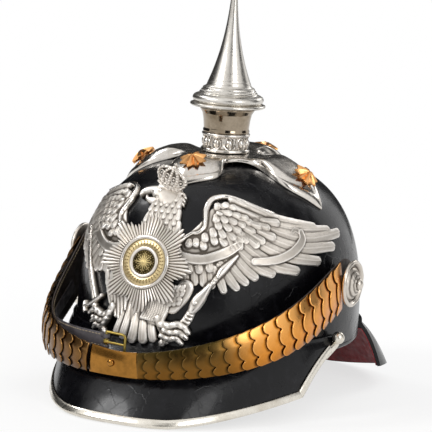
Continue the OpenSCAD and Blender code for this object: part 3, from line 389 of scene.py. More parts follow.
def metal(name, color, dark, rough=(0.16, 0.34), grain=0.04, tarnish=0.5, turned=0.0, cast=False,
          painted_shade_colour=None, bright=None):
    """Metal with uneven polish, fine flecks and tarnish. A cast one reads marks of its piece: one for hollows
    and ridges (dark in recesses, as tarnish and painted shade; bright on ridges, as a painted highlight), vane
    (fine lines of feathers), shine (polished parts) and, where a colour is given for it, one for painted shade
    (parts darkened as if turned from the light)."""
    m = Mat(name, color, rough=rough[0], metal=1.0)
    cloud = m.noise(55, 5, 0.6)
    fleck = m.ramp(m.noise(420, 3, 0.6), (0.42, 0.0), (0.72, 1.0))
    col = m.mix(m.math("MULTIPLY", m.ramp(cloud, (0.45, 0.0), (0.75, 1.0)), tarnish), color, dark)
    col = m.mix(m.math("MULTIPLY", fleck, 0.175), col, tuple(0.55 * c for c in dark))
    sheen = m.ramp(m.noise(160, 5, 0.7), (0.3, rough[0]), (0.75, rough[1]))
    if cast:
        # Painted highlight: the bright colour on ridges and raised edges
        if bright:
            col = m.mix(m.ramp(m.attr("relief"), (0.5, 0.0), (0.95, 1.0)), col, bright)
        # Dark colour in recesses and gaps: partly tarnish, partly painted shade
        col = m.mix(m.ramp(m.attr("relief"), (0.08, 0.0), (0.5, 1.0)), tuple(0.3 * c for c in dark), col)
        m.bump(m.math("SINE", m.math("MULTIPLY", m.attr("vane"), 5.6)), 0.42, 0.0002)
        sheen = m.math("SUBTRACT", sheen, m.math("MULTIPLY", m.attr("shine"), 0.24))
        # Painted shade: parts darkened towards a near-black colour, as if turned away from the light
        if painted_shade_colour:
            col = m.mix(m.attr("tone"), col, painted_shade_colour)
    m.link(col, "Base Color")
    m.link(sheen, "Roughness")
    m.bump(m.noise(1400, 2), grain, 0.0001)
    if turned:
        m.bump(m.noise(1.0, 2, 0.6, m.stretch(6, 6, 2600)), turned, 0.0001)
    return m.m


def leather(name, color, dark, rough=0.6, pores=900):
    """Leather, cloth or thread, with pores and uneven polish."""
    m = Mat(name, color, rough=rough)
    m.link(m.mix(m.ramp(m.noise(90, 5, 0.65), (0.35, 0.0), (0.7, 1.0)), color, dark), "Base Color")
    m.bump(m.cells(pores, "SMOOTH_F1"), 0.35, 0.0002)
    m.bump(m.noise(140, 5, 0.6), 0.35, 0.0005)
    m.link(m.ramp(m.noise(240, 3), (0.3, rough - 0.12), (0.7, rough + 0.15)), "Roughness")
    return m.m


PATENT = patent("patent_black")
PATENT_PLAIN = patent("patent_visor", craze=0.5)
SILVER = metal("silver_polished", (0.72, 0.68, 0.63), (0.42, 0.37, 0.31), (0.16, 0.32), tarnish=0.7)
OLD_SILVER = metal("silver_old", (0.60, 0.55, 0.49), (0.34, 0.29, 0.24), (0.26, 0.44), grain=0.12,
                   tarnish=0.8, cast=True, bright=(0.78, 0.73, 0.66))
TURNED = metal("silver_turned", (0.70, 0.67, 0.62), (0.46, 0.42, 0.37), (0.24, 0.36), turned=0.6)
TRIM = metal("silver_trim", (0.80, 0.76, 0.68), (0.52, 0.46, 0.37), (0.2, 0.36), tarnish=0.7)
FROSTED = metal("silver_frosted", (0.63, 0.58, 0.52), (0.42, 0.36, 0.30), (0.34, 0.5), grain=0.12, cast=True,
                bright=(0.86, 0.82, 0.77))
# Gilt of the loop; its near-black second colour is painted shade, for parts of the loop that face away from
# the light
GILT = metal("gilt_scales", (0.74, 0.29, 0.045), (0.46, 0.15, 0.02), (0.24, 0.40), grain=0.06, cast=True,
             painted_shade_colour=(0.055, 0.037, 0.01), bright=(0.98, 0.51, 0.16))
# A darker copy of the gilt for the row on the wearer's right: painted shade for the row that faces away from
# the light
GILT_PAINTED_SHADE = metal("gilt_painted_shade", (0.28, 0.13, 0.032), (0.14, 0.06, 0.013), (0.24, 0.40), grain=0.06, cast=True,
                 painted_shade_colour=(0.07, 0.034, 0.01), bright=(0.54, 0.29, 0.1))
GILT_STAR = metal("gilt_stars", (0.76, 0.40, 0.16), (0.44, 0.21, 0.07), (0.22, 0.38), grain=0.06)
GILT_OLD = metal("gilt_old", (0.60, 0.48, 0.26), (0.34, 0.25, 0.11), (0.24, 0.42), grain=0.1, tarnish=0.6,
                 cast=True, bright=(0.76, 0.62, 0.38))
BRASS = metal("brass_plain", (0.38, 0.28, 0.07), (0.22, 0.155, 0.045), (0.24, 0.44), tarnish=0.7)
# Darker than the scales' gilt: painted shade, standing for the dark reflections the front plate shows
PLATE = metal("gilt_plate", (0.38, 0.175, 0.036), (0.12, 0.058, 0.013), (0.12, 0.26), tarnish=0.9)
HARDWARE = metal("hardware_yellow", (0.60, 0.46, 0.22), (0.32, 0.22, 0.09), (0.3, 0.5), grain=0.1,
                 tarnish=0.8)
STRAP = leather("strap_brown", (0.045, 0.028, 0.02), (0.012, 0.009, 0.008))
STRAP_GREY = leather("strap_grey", (0.075, 0.066, 0.072), (0.022, 0.018, 0.02), 0.5)
BAND = leather("band_tan", (0.36, 0.21, 0.11), (0.17, 0.09, 0.045))
GREEN = leather("lining_green", (0.10, 0.16, 0.09), (0.05, 0.085, 0.05), 0.65)
GILT_DARK = metal("gilt_dark", (0.38, 0.30, 0.14), (0.14, 0.1, 0.035), (0.3, 0.5), grain=0.12, tarnish=0.6,
                  cast=True, bright=(0.72, 0.58, 0.28))
THREAD = leather("thread_pale", (0.42, 0.34, 0.22), (0.24, 0.18, 0.11), 0.75)
RED = leather("lining_red", (0.24, 0.02, 0.025), (0.11, 0.008, 0.012), 0.6)


# Skull

az = np.linspace(0, 360, 240, endpoint=False)
f = np.radians(np.linspace(0, 88.6, 110))
hs = TOP * np.sin(f) ** (2 / FULL)
outer = np.stack([side(az, h) for h in hs])
inner = outer - skull_n(outer) * SKULL_T
put("skull_shell", shell(outer, inner, True), PATENT, nodes=["skull"])

t = around(240)
EDGE_IN, EDGE_R, EDGE_Z = 1.7, 1.68, -1.75
edge_path = np.stack([(HALF_W - EDGE_IN) * np.sin(t), BACK - (HALF_L - EDGE_IN) * np.cos(t),
                      np.full(240, EDGE_Z)], -1)
put("rolled_edge", swept(edge_path, EDGE_R, 14, True), PATENT_PLAIN, nodes=["edge_roll"])


# Visors

VISOR_T, LINING_T, FLANGE_H, FLANGE_Z = 2.4, 0.8, 8.0, 3.0
STACK = VISOR_T + SEAT + LINING_T
ROOT = STACK + 2 * SEAT


def front_edge(b):
    """Edge of the front visor; b runs from -90 at the wearer's right to 90."""
    s = np.abs(np.sin(np.radians(b)))
    return np.stack([93 * np.sin(np.radians(b)), -152.1 + 102.1 * s ** 2.8,
                     np.maximum(-42, -43 + 14 * s ** 3)], -1)


def rear_edge(b):
    """Edge of the rear visor, in the same way."""
    r = np.radians(b)
    return np.stack([94 * np.sin(r), 86 + 66.6 * np.maximum(0, np.cos(r)) ** 0.9,
                     -44.4 + 15.4 * np.abs(np.sin(r)) ** 2.2], -1)


def bulge(p, e, s):
    """Curve from p on the wall to e on the edge, bulging upward between them."""
    c = np.stack([lerp(p[..., 0], e[..., 0], 0.55), lerp(p[..., 1], e[..., 1], 0.55),
                  lerp(p[..., 2], e[..., 2], 0.32)], -1)
    return (1 - s) ** 2 * p + 2 * s * (1 - s) * c + s * s * e


def front_a(b):
    return 82.5 * b / 90


def rear_a(b):
    return 180 - 60 * b / 90


def visor_f(front, b, s):
    """Upper face of a visor; s runs from 0 at the wall to 1 at the edge."""
    b, s = np.broadcast_arrays(arr(b), arr(s))
    a = front_a(b) if front else rear_a(b)
    return bulge(wall(a, FLANGE_Z, ROOT), front_edge(b) if front else rear_edge(b), s[..., None])


def visor_n(front, b, s):
    """Upward direction of that face."""
    b, s = np.broadcast_arrays(arr(b), arr(s))
    u = visor_f(front, b, np.minimum(1, s + 0.15)) - visor_f(front, b, np.maximum(0, s - 0.15))
    v = visor_f(front, np.minimum(90, b + 8), s) - visor_f(front, np.maximum(-90, b - 8), s)
    n = unit(np.cross(v, u))
    return np.where(n[..., 2:] < 0, -n, n)


def floor_clip(p):
    """Keeps points over the table."""
    q = p.copy()
    q[..., 2] = np.maximum(q[..., 2], -RIM)
    return q


def visor_layer(front, bs, ss, depth):
    """Grid of points at a depth under a visor's upper face."""
    b, s = np.meshgrid(bs, ss)
    return floor_clip(visor_f(front, b, s) - visor_n(front, b, s) * depth)


def visor(front, bs):
    """Leather of a visor, with its flange up the skull's wall."""
    a = front_a(bs) if front else rear_a(bs)
    ss = np.linspace(0.04, 1, 26)
    top = [wall(a, FLANGE_H, VISOR_T * k + SEAT) for k in (0.25, 0.7, 0.95)]
    top[0][:, 2] += 0.35
    top[1][:, 2] += 0.3
    mid = [wall(a, z, VISOR_T + SEAT + e) for z, e in ((6.5, 0.02), (5.4, 0.1), (4.4, 0.45))]
    outer = np.concatenate([np.stack(top + mid), visor_layer(front, bs, ss, 0)])
    low = [wall(a, z, SEAT) for z in (FLANGE_H, 7.6, 7, 5.4, 3.6, 1.2)]
    inner = np.concatenate([np.stack(low), visor_layer(front, bs, ss, VISOR_T)])
    return shell(outer, inner)


def visor_lining(front, bs):
    """Thin leather under a visor."""
    ss = np.linspace(0.06, 0.985, 24)
    a = front_a(bs) if front else rear_a(bs)
    return shell(np.concatenate([wall(a, 0.6, SEAT)[None], visor_layer(front, bs, ss, VISOR_T + SEAT)]),
                 np.concatenate([wall(a, -0.2, SEAT)[None], visor_layer(front, bs, ss, STACK)]))


visor_bs = np.linspace(-90, 90, 121)
put("front_visor_leather", visor(True, visor_bs), PATENT_PLAIN, nodes=["front_visor"])
put("front_visor_underside", visor_lining(True, visor_bs), GREEN, nodes=["front_lining"])
put("rear_visor_leather", visor(False, visor_bs), PATENT_PLAIN, nodes=["rear_visor"])
put("rear_visor_underside", visor_lining(False, visor_bs), RED, nodes=["rear_lining"])

# Metal trim in a rounded channel
trim_bs = np.concatenate([np.full(12, -90.0), np.linspace(-90, 90, 140), np.full(12, 90.0)])
trim_ss = np.concatenate([np.linspace(0.2, 0.97, 12), np.ones(140), np.linspace(0.97, 0.2, 12)])
n0 = visor_n(True, trim_bs, trim_ss)
pts = visor_f(True, trim_bs, trim_ss) - n0 * STACK / 2
tan = unit(np.concatenate([pts[1:], pts[-1:]]) - np.concatenate([pts[:1], pts[:-1]]))
inward = unit(np.cross(n0, tan))
nn = unit(np.cross(tan, inward))
on_side_edge = trim_ss < 0.999
TRIM_W = 4.6
rings = []
for i in range(len(pts)):
    w = TRIM_W * (1.1 if on_side_edge[i] else 1)
    h = STACK / 2 + (3 if on_side_edge[i] else 1.6) * SEAT
    o = h + 0.9
    sec = [[w, h], [w, h + 0.35], [w - 0.5, o]] \
        + [[-0.1 + (w - 0.9) * k, o] for k in (0.6, 0.2)] \
        + [[-0.2 - 0.95 * math.cos(q), o * math.sin(q)] for q in np.radians(np.arange(80, -81, -20))] \
        + [[-0.1 + (w - 0.9) * k, -o] for k in (0.2, 0.6)] \
        + [[w - 0.5, -o], [w, -h - 0.35], [w, -h], [-0.1, -h], [-0.1, h]]
    rings.append([pts[i] + inward[i] * c[0] + nn[i] * c[1] for c in sec])
trim_parts = [tube(floor_clip(arr(rings)))]
for b in (-1, 1):
    path = curve(np.concatenate([[visor_f(True, b * 88.6, 0.3) + visor_n(True, b * 88.6, 0.3) * 0.9],
                                 wall(b * arr([81.9, 81.0, 80.5, 80.5]), arr([3.2, 5.2, 7.4, 8.4]),
                                      arr([4.6, 3.7, 3.3, 3.2]))]), 5)
    trim_parts.append(swept(path, np.interp(np.arange(len(path)), [0, 10, len(path) - 1], [2.9, 3.1, 2.4]),
                            12, flat=0.22, normal=skull_n(side(b * 81, 0))))
put("visor_trim_channel", join(*trim_parts), TRIM, nodes=["visor_trim"], smooth=50)

BALL_R, BALL_AT = 4.45, 80.5
balls = []
for b in (-BALL_AT, BALL_AT):
    prof = [[0.01, 0], [2.9, 0]] + arc(0, 3.1, BALL_R, BALL_R, -42, 90, 9) + [[0.01, 7.55]]
    balls.append(placed(lathe(prof, 40), wall(b, 7.4, VISOR_T + 3 * SEAT + 0.4), skull_n(side(b, 0))))
put("trim_ball_studs", join(*balls), TRIM, nodes=["trim_balls"])


# Spike base with its pearls, neck and spike

# Half width along an arm, from its root to its tip, as a share of ARM_HALF, and each arm's reach
ARM_HALF, ARM_ROOT = 20, 19.0
arm_half = arr([[0, 0.95], [0.1, 0.78], [0.2, 0.72], [0.33, 0.8], [0.45, 0.93], [0.6, 0.99], [0.73, 0.86],
                [0.87, 0.48], [1, 0]])
arm_l = [76, 84, 76, 66]


def arm_outline():
    """Smooth outline of the four arms, from one armpit round to the next."""
    n = 26
    q = np.linspace(0, 1, n) ** 0.92
    # Smooth interpolation through the arm's widths
    xs, ys = arm_half[:, 0], arm_half[:, 1]
    m = np.gradient(ys, xs)
    m[-1] = -5.2
    k = np.clip(np.searchsorted(xs, q) - 1, 0, len(xs) - 2)
    h = xs[k + 1] - xs[k]
    t = (q - xs[k]) / h
    w = (2 * t ** 3 - 3 * t ** 2 + 1) * ys[k] + (t ** 3 - 2 * t ** 2 + t) * h * m[k] \
        + (-2 * t ** 3 + 3 * t ** 2) * ys[k + 1] + (t ** 3 - t ** 2) * h * m[k + 1]
    out = []
    for a in range(4):
        for sgn, order in ((-1, range(n)), (1, range(n - 2, -1, -1))):
            for i in order:
                r, ww = lerp(ARM_ROOT, arm_l[a], q[i]), sgn * w[i] * ARM_HALF
                c, s = math.cos(math.radians(90 * a)), math.sin(math.radians(90 * a))
                out.append([r * c - ww * s, r * s + ww * c])
    return arr(out)


outline = arm_outline()
BASE_T, BASE_RISE, SWELL, HUB = 1.2, 3.4, 8.0, 8.3


def base_under(p, u):
    """Underside of the pressed base over the skull: a domed middle, and arms swelling between their edges."""
    r = np.linalg.norm(p, axis=-1)
    return 0.375 + BASE_RISE * (1 - ease((r - 17.2) / 26)) + SWELL * ease((r - 23.2) / 18) * (1 - u ** 4)


us = np.concatenate([np.linspace(0, 0.86, 26), [0.88, 0.895, 0.91, 0.925, 0.94, 0.955, 0.97, 0.982, 0.992,
                                                1.0]])
hub = HUB * unit(outline)
rows_o, rows_i = [], []
for u in us:
    q = lerp(hub, outline, u)
    # A groove inside the border, and the border's rounded roll
    border = np.interp(u, [0, 0.84, 0.88, 0.91, 0.925, 0.955, 0.982, 1.0],
                       [0, 0, -0.5, -0.55, 0.1, 0.75, 0.55, -0.5])
    low = base_under(q, u)
    rows_o.append(on_crown(q[:, 0], q[:, 1], low + BASE_T + border * (1 - 0.3 * u)))
    rows_i.append(on_crown(q[:, 0], q[:, 1], low))
put("cruciform_base", shell(np.stack(rows_o), np.stack(rows_i), True), SILVER, nodes=["spike_base"],
    smooth=50)


def arm_top(p, arm):
    """Point of the base's upper face, by its arm's reach."""
    return on_crown(p[0], p[1], base_under(p, (np.linalg.norm(p) - HUB) / (arm - HUB)) + BASE_T + 0.375)


# Each star's place, and the reach of the arm under it
studs = []
for x, y, arm in ((0, -47, 66), (0, 65, 84), (59, 0, 76), (-59, 0, 76)):
    p = arr([x, y])
    u = unit(p)
    w = arr([-u[1], u[0]])
    n = unit(np.cross(arm_top(p + 6 * u, arm) - arm_top(p - 6 * u, arm),
                      arm_top(p + w, arm) - arm_top(p - w, arm)))
    k = np.arange(64)
    ang = k * 2 * math.pi / 64
    spread = np.abs(np.mod(k / 8 + 0.5, 1) - 0.5) * 2
    r = 9.8 * (1 - 0.36 * spread ** 0.8)
    rows = []
    for q, hgt in ((1.0, 0.0), (1.0, 0.45), (0.93, 1.0), (0.7, 2.2), (0.5, 3.2), (0.34, 4.1), (0.22, 4.4),
                   (0.12, 4.9), (0.01, 5.1)):
        fold = (0.5 - spread) * 1.3 * min(1, q * 1.4) * (1 if hgt > 0 else 0)
        rows.append(np.stack([r * q * np.cos(ang), r * q * np.sin(ang),
                              hgt + np.maximum(-0.35 * (hgt > 0), fold) * (q > 0.15)], -1))
    studs.append(placed((np.concatenate(rows), grid_faces(len(rows), 64, True).tolist()),
                        arm_top(p, arm) + SEAT * n, n))
    foot, skin_n = crown(x, y), skull_n(crown(x, y))
    rise = np.linalg.norm(arm_top(p, arm) - foot)
    studs.append(placed(lathe([[0.01, -6.55], [1.2, -6.55], [1.5, -6.2], [1.5, rise + 1.4],
                               [0.01, rise + 1.4]], 16), foot, skin_n))
put("star_stud_set", join(*studs), GILT_STAR, nodes=["star_studs"], smooth=28)

ring_z = TOP + BASE_RISE + BASE_T + 2 * SEAT
RING_H, MOUTH_H = 13, 31
foot_z, mouth_z = ring_z + RING_H, ring_z + MOUTH_H
pearl_parts = [lathe(rounded([[7.8, ring_z + 0.05], [17.1, ring_z + 0.05], [17.3, ring_z + 1.2],
                              [16.7, ring_z + 2.3], [13.9, ring_z + 2.6], [13.8, foot_z - 2.6],
                              [16.3, foot_z - 2.4], [17.0, foot_z - 1.2], [16.6, foot_z], [7.8, foot_z]],
                             0.5), 120)]
PEARLS, PEARL_R, SETTING_R, pearl_z = 10, 14.7, 15.4, ring_z + 6.5
for i in range(PEARLS):
    a = math.radians((i + 0.5) * 360 / PEARLS)
    v, q = ball(2.35, 20, 14, (0.9, 1.0, 1.35))
    pearl_parts.append((spun(v, a) + spun(arr([PEARL_R, 0, pearl_z]), a), q))
    # Oval setting, bent round the ring
    tt = around(28)
    ang = a + 3.75 * np.cos(tt) / SETTING_R
    out = np.stack([np.cos(ang), np.sin(ang), 0 * ang], -1)
    setting = SETTING_R * out + np.outer(pearl_z + 4.4 * np.sin(tt), [0, 0, 1])
    pearl_parts.append(swept(setting, 0.55, 8, True, normal=out))
put("pearl_ring_cast", join(*pearl_parts), SILVER, nodes=["pearl_ring"])

neck = rounded([[4.1, foot_z - 5], [5.7, foot_z - 5], [5.7, 106], [7.5, 106], [7.5, foot_z + 0.1],
                [16.0, foot_z + 0.1], [16.4, foot_z + 1], [15.9, foot_z + 3], [16.5, foot_z + 9],
                [17.4, mouth_z - 4.6], [18.9, mouth_z - 2.2], [19.4, mouth_z - 1.2], [18.8, mouth_z],
                [17.6, mouth_z], [15.5, foot_z + 9], [14.8, foot_z + 3], [14.8, foot_z + 1.4],
                [7.5, foot_z + 1.4], [6.5, foot_z + 4], [4.1, foot_z + 4]], 0.4)
# Dark, brownish colour on the polished neck: painted reflection of dark brown surroundings
NECK = metal("silver_neck", (0.34, 0.28, 0.21), (0.12, 0.085, 0.045), (0.07, 0.18), tarnish=0.9)
put("spike_neck_funnel", lathe(neck, 120), NECK, nodes=["spike_neck"])

SPIKE_H = 90
spike_z = mouth_z + 0.3


def spike_r(z):
    """Radius of the spike at a height over its flange."""
    k = 1 - z / SPIKE_H
    return 1.5 + 16.9 * k ** 2.6 + 4.5 * k


prof = [[4.1, 0], [25.4, 0], [26.3, 0.5], [26.4, 1.1], [26.2, 1.9], [25.2, 2.3]]
prof += arc(21.2, 5.4, 3.7, 3.2, -58, 75, 9)
prof += [[20.6, 8.9], [20.3, 9.3], [20.5, 9.8], [20.0, 10.3], [19.4, 10.5], [19.3, 10.9], [19.4, 11.3],
         [18.9, 11.8], [18.4, 12.0], [18.25, 12.4], [18.3, 12.9], [17.9, 13.4], [17.5, 13.6]]
prof += [[spike_r(z) - 0.15 * math.exp(-((z - 15.5) / 0.5) ** 2)
          - 0.12 * math.exp(-((z - 18.2) / 0.4) ** 2), z]
         for z in np.concatenate([np.linspace(14.4, 20, 24), np.linspace(21, 88.5, 46)])]
prof += [[0.9, SPIKE_H - 0.4], [0.4, SPIKE_H - 0.05], [0.01, SPIKE_H]]
hollow = [[18.4, 9], [21.4, 6.4], [21.4, 4.4], [18.4, 2.2], [4.1, 2.2], [4.1, 0]]
put("spike_turned", join(lathe(arr(prof) + [0, spike_z], 160), lathe(arr(hollow) + [0, spike_z], 96)),
    TURNED, "spike_top", nodes=["spike"], smooth=55)


# Eagle plate: a relief of strokes laid over one another on the skull's side

def blur(z, cells):
    """Heights averaged over so many cells each way, to tell ridges from recesses."""
    k = np.exp(-0.5 * (np.arange(-3 * cells, 3 * cells + 1) / cells) ** 2)
    k /= k.sum()
    for axis in (1, 0):
        z = np.apply_along_axis(lambda r: np.convolve(r, k, "same"), axis, z)
    return z


class Relief:
    """Heights over the skull, on a fine grid of azimuth and height. The highest stroke shows."""

    def __init__(self, a0, a1, h0, h1, step_a=0.2, step_h=0.36):
        self.a, self.h = np.arange(a0, a1, step_a), np.arange(h0, h1, step_h)
        self.aa, self.hh = np.meshgrid(self.a, self.h)
        self.p = side(self.aa, self.hh)
        self.n = skull_n(self.p)
        self.top = np.zeros(self.aa.shape)
        self.inside = np.full(self.aa.shape, -9.0)
        self.vane = np.zeros(self.aa.shape)
        self.shine = np.zeros(self.aa.shape)

    def stroke(self, path, lift, swell, power=2.0, tilt=0.0, vein=0.0, rim=0.0, groove=0.0, vane=0.0,
               shine=0.0, rings=0.0):
        """path holds [azimuth, height, half width]; lift may be a pair, for the two ends."""
        q = curve(path)
        c, w = side(q[:, 0], q[:, 1]), q[:, 2]
        reach = w.max() + 0.8
        wide = reach / (1.55 * max(0.25, float(slice_at(q[:, 1].max() + reach * 0.6))))
        j = np.flatnonzero((self.a > q[:, 0].min() - wide) & (self.a < q[:, 0].max() + wide))
        i = np.flatnonzero((self.h > q[:, 1].min() - reach) & (self.h < q[:, 1].max() + reach))
        if not len(i) or not len(j):
            return
        box = np.ix_(i, j)
        p, n = self.p[box].reshape(-1, 3), self.n[box].reshape(-1, 3)
        seg = c[1:] - c[:-1]
        size = np.maximum(1e-6, (seg ** 2).sum(1))
        rel = p[:, None] - c[None, :-1]
        t = np.clip((rel * seg).sum(2) / size, 0, 1)
        d = np.linalg.norm(rel - t[..., None] * seg, axis=2)
        k = d.argmin(1)
        row = np.arange(len(p))
        t, d = t[row, k], d[row, k]
        run = np.concatenate([[0], np.cumsum(np.sqrt(size))])
        along = run[k] + t * np.sqrt(size[k])
        half = lerp(w[k], w[k + 1], t)
        hand = np.sign((np.cross(n, seg[k]) * (p - c[k])).sum(1))
        u = np.clip(d / half, 0, 1)
        low, high = (lift, lift) if np.isscalar(lift) else lift
        z = lerp(low, high, along / run[-1]) + swell * np.sqrt(1 - u ** power) + tilt * hand * u
        z += vein * np.exp(-(d / 0.4) ** 2) - groove * np.exp(-(d / 0.5) ** 2)
        z += rim * np.exp(-((half - d - 0.55) / 0.4) ** 2)
        if rings:
            # Ringed grips are cut deeper than the toes' joints
            z += (0.2 if rings > 4 else 0.45) * np.cos(along * 2 * math.pi / rings) * (1 - u ** 2)
        z = np.maximum(0.3, z)
        flat = lambda m: m[box].ravel()
        new = (d < half) & (z > flat(self.top))
        for field, value in ((self.top, z), (self.shine, np.full(len(p), shine)),
                             (self.vane, vane * (along + 0.9 * d))):
            field[box] = np.where(new, value, flat(field)).reshape(len(i), len(j))
        self.inside[box] = np.maximum(flat(self.inside), half - d).reshape(len(i), len(j))

    def feather(self, path, lift, swell, power=2.0, tilt=0.0, vein=0.0, rim=0.0):
        """A stroke with the fine lines of a vane."""
        self.stroke(path, lift, swell, power, tilt, vein, rim, vane=1)

    def part(self, base):
        """Closed solid of the strokes, standing base(h) off the skull, and its attributes."""
        f, (rows, cols) = self.inside, self.aa.shape
        ins = f > 0
        cell = ins[:-1, :-1] | ins[1:, :-1] | ins[:-1, 1:] | ins[1:, 1:]
        ma = np.linalg.norm(np.gradient(self.p, self.a, axis=1), axis=2)
        mh = np.linalg.norm(np.gradient(self.p, self.h, axis=0), axis=2)
        ga, gh = np.gradient(f, self.a, axis=1) / ma, np.gradient(f, self.h, axis=0) / mh
        g = np.maximum(0.3, ga ** 2 + gh ** 2)
        pull = np.where(ins, 0, np.clip(-f, 0, 0.5))
        a = self.aa + pull * ga / g / ma
        h = self.hh + pull * gh / g / mh
        off = base(h)
        upper = on_side(a, h, off + np.where(ins, self.top, 0)).reshape(-1, 3)
        lower = on_side(a, h, off).reshape(-1, 3)
        i, j = np.nonzero(cell)
        quads = np.stack([i * cols + j, i * cols + j + 1, (i + 1) * cols + j + 1, (i + 1) * cols + j], -1)
        flat = ins.ravel()
        under = quads[flat[quads].any(1)][:, ::-1]
        total = rows * cols
        under = np.where(flat[under], under + total, under)
        faces = np.concatenate([quads, under])
        used, faces = np.unique(faces, return_inverse=True)
        faces = faces.reshape(-1, 4)
        # Lower than their surroundings darker, as tarnish and painted shade; higher lighter, as a painted
        # highlight
        relief = np.clip(0.5 + (self.top - blur(self.top, 3)) / 0.62, 0, 1).ravel()
        attrs = {"relief": relief, "vane": self.vane.ravel(), "shine": self.shine.ravel()}
        attrs = {k: np.concatenate([v, v])[used] for k, v in attrs.items()}
        return np.concatenate([upper, lower])[used], faces, attrs


def toward(tip, home, length):
    """Point that lies the given length from a tip towards its feather's home."""
    p, q = side(*tip), side(*home)
    k = min(1.0, length / np.linalg.norm(q - p))
    return lerp(arr(tip), arr(home), k)


plate = Relief(-99, 93, -6, 119.5)
SHOULDER = (27, 92)
# Root, middle and tip of each flight feather
FLIGHT = [[(34, 97.5), (55.4, 88.0), (74.0, 82.4)], [(38, 93), (57.0, 83.2), (82.8, 79.2)],
          [(44, 86), (66, 76), (90.3, 76.2)], [(45, 80), (62, 70.6), (83.4, 68.5)],
          [(42, 76), (57, 65.6), (72.6, 60.6)], [(39, 72), (50, 60.6), (61.0, 55.7)],
          [(36, 69), (43.4, 59.4), (50.0, 54.6)], [(33.5, 66.5), (38.8, 57.6), (42.9, 52.6)],
          [(31, 63), (35.4, 54.6), (39.2, 49.2)], [(28.8, 60), (32.6, 51.6), (35.7, 45.6)],
          [(26, 57), (29.2, 49.6), (30.8, 43.6)]]
COVERTS = [(45, 84.2), (48.4, 83.4), (53.4, 86.2), (50.7, 77.8), (45.7, 75.4), (43.1, 73.2), (38.7, 76.1),
           (36.7, 79), (41.5, 81), (40.5, 86.5), (36, 72), (33, 70)]
LONG_COVERTS = [[(32, 99.8), (44.5, 93.6)], [(35.5, 99), (49, 91.2)], [(40, 97.6), (54, 89.6)],
                [(33, 95.5), (44.5, 90)]]
SMALL_SCALES = [(24.6, 96.5), (28.6, 97.2), (32.6, 96), (26, 92.5), (30.3, 92.4), (34.4, 91.2), (38, 90),
                (24.6, 88.2), (28.6, 88), (32.8, 87.2), (36.6, 85.6), (26, 84), (30.4, 83.2), (34.6, 82.2),
                (24, 79.2), (28.2, 78.8), (32.4, 77.8), (36, 76.4), (20.6, 76), (24.8, 74.6), (29, 73.8),
                (17, 72.4), (20.4, 71), (14, 71.8)]
LOWER_ROW = [(15.5, 48.9), (19.2, 48.4), (22.8, 48.0), (26, 46.6)]
UPPER_ROW = [(13, 56.4), (16.6, 55.7), (20.6, 56.0), (24.8, 57.2)]


def wing(turn):
    """One wing; turn carries an azimuth of the wearer's left wing to this one's."""
    def go(pts):
        return [[turn(a), h, w] for a, h, w in pts]

    hand = 1 if turn(10) > 0 else -1
    plate.stroke(go([(13, 67, 7.5), (23, 80, 9), (30, 90, 10), (42, 84, 9.5), (54, 78, 7)]), 0.9, 0.9, 4)
    plate.stroke(go([(14, 60, 8), (24, 64, 9), (34, 70, 8), (48, 70, 7)]), 0.8, 0.8, 4)
    plate.stroke(go([(14, 54, 5.5), (22, 55, 6), (30, 59, 6)]), 0.8, 0.7, 4)
    for k, f in enumerate(FLIGHT):
        w = 4.1 if k < 6 else lerp(3.7, 3.0, (k - 6) / 4)
        (ra, rh), (ma, mh), (ta, th) = f
        path = [[ra, rh, w], [ma, mh, w * 1.06], [ta, th, w * 0.86]]
        plate.feather(go(path), (1.2, 0.55), 1.25, 3.2, 0.28 * hand, 0.22, 0.14)
    for root, tip in LONG_COVERTS:
        plate.feather(go([(*root, 2.0), (*tip, 2.1)]), (2.3, 1.6), 1.0, 3, 0.2 * hand, 0.18)
    for tip in COVERTS:
        root = toward(tip, SHOULDER, 9)
        plate.feather(go([(*root, 2.7), (*tip, 3.1)]), (1.7, 2.1), 1.1, 2.6, 0.12 * hand, 0.22, 0.12)
    for c in SMALL_SCALES:
        tip = toward(c, (60, 66), 1.6)
        plate.feather(go([(*toward(c, SHOULDER, 2.5), 2.3), (*tip, 2.5)]), (2.0, 2.6), 0.8, 2.6, 0, 0.15,
                      0.12)
    for row, root_h, lift in ((UPPER_ROW, 64, 1.5), (LOWER_ROW, 58, 0.9)):
        for a, h in row:
            plate.feather(go([(a - 1, root_h, 2.6), (a, h, 2.75)]), (lift, lift + 0.3), 1.1, 2.8, 0, 0.2, 0.1)
    # Rolled and polished front edge of the wing
    plate.stroke(go([(8.5, 76.2, 1.1), (10.8, 74.2, 1.3), (13.4, 76.2, 1.3), (15.6, 78.6, 1.3),
                     (18.2, 79.2, 1.3), (20.6, 82.6, 1.5), (20.6, 88, 1.8), (20.1, 94, 2.1),
                     (22.0, 99.2, 2.1), (26.4, 101.2, 1.8), (31.5, 101.2, 1.5), (37, 99.6, 1.2),
                     (43.5, 96.6, 1.0), (53, 92.0, 0.8)]), (1.9, 1.5), 1.9, 2, shine=1)
    # Banner that runs behind the sceptre and out over the flight feathers
    plate.stroke(go([(7, 64.4, 3.0), (12.3, 63.9, 3.2), (17.8, 62.6, 3.3), (22.5, 63, 3.3), (27, 65.4, 3.3),
                     (31.4, 68.4, 3.4), (36.2, 73.0, 2.6)]), (2.7, 2.3), 0.7, 8, rim=0.35)
    plate.stroke(go([(42.6, 62.6, 2.6), (48.2, 62.7, 2.9), (53.3, 63.9, 3.1), (58.6, 66.9, 3.2),
                     (63.0, 71.3, 3.2), (65.4, 75.6, 3.0), (65.3, 79.6, 2.5)]), (2.0, 1.9), 0.7, 8, rim=0.35)
    plate.stroke(go([(65.2, 79.2, 2.3), (62.6, 81.6, 1.9), (60.4, 79.6, 1.4)]), (1.7, 1.5), 0.7, 6, rim=0.3)


wing(lambda a: a)
wing(lambda a: -(0.97 * a + 5))

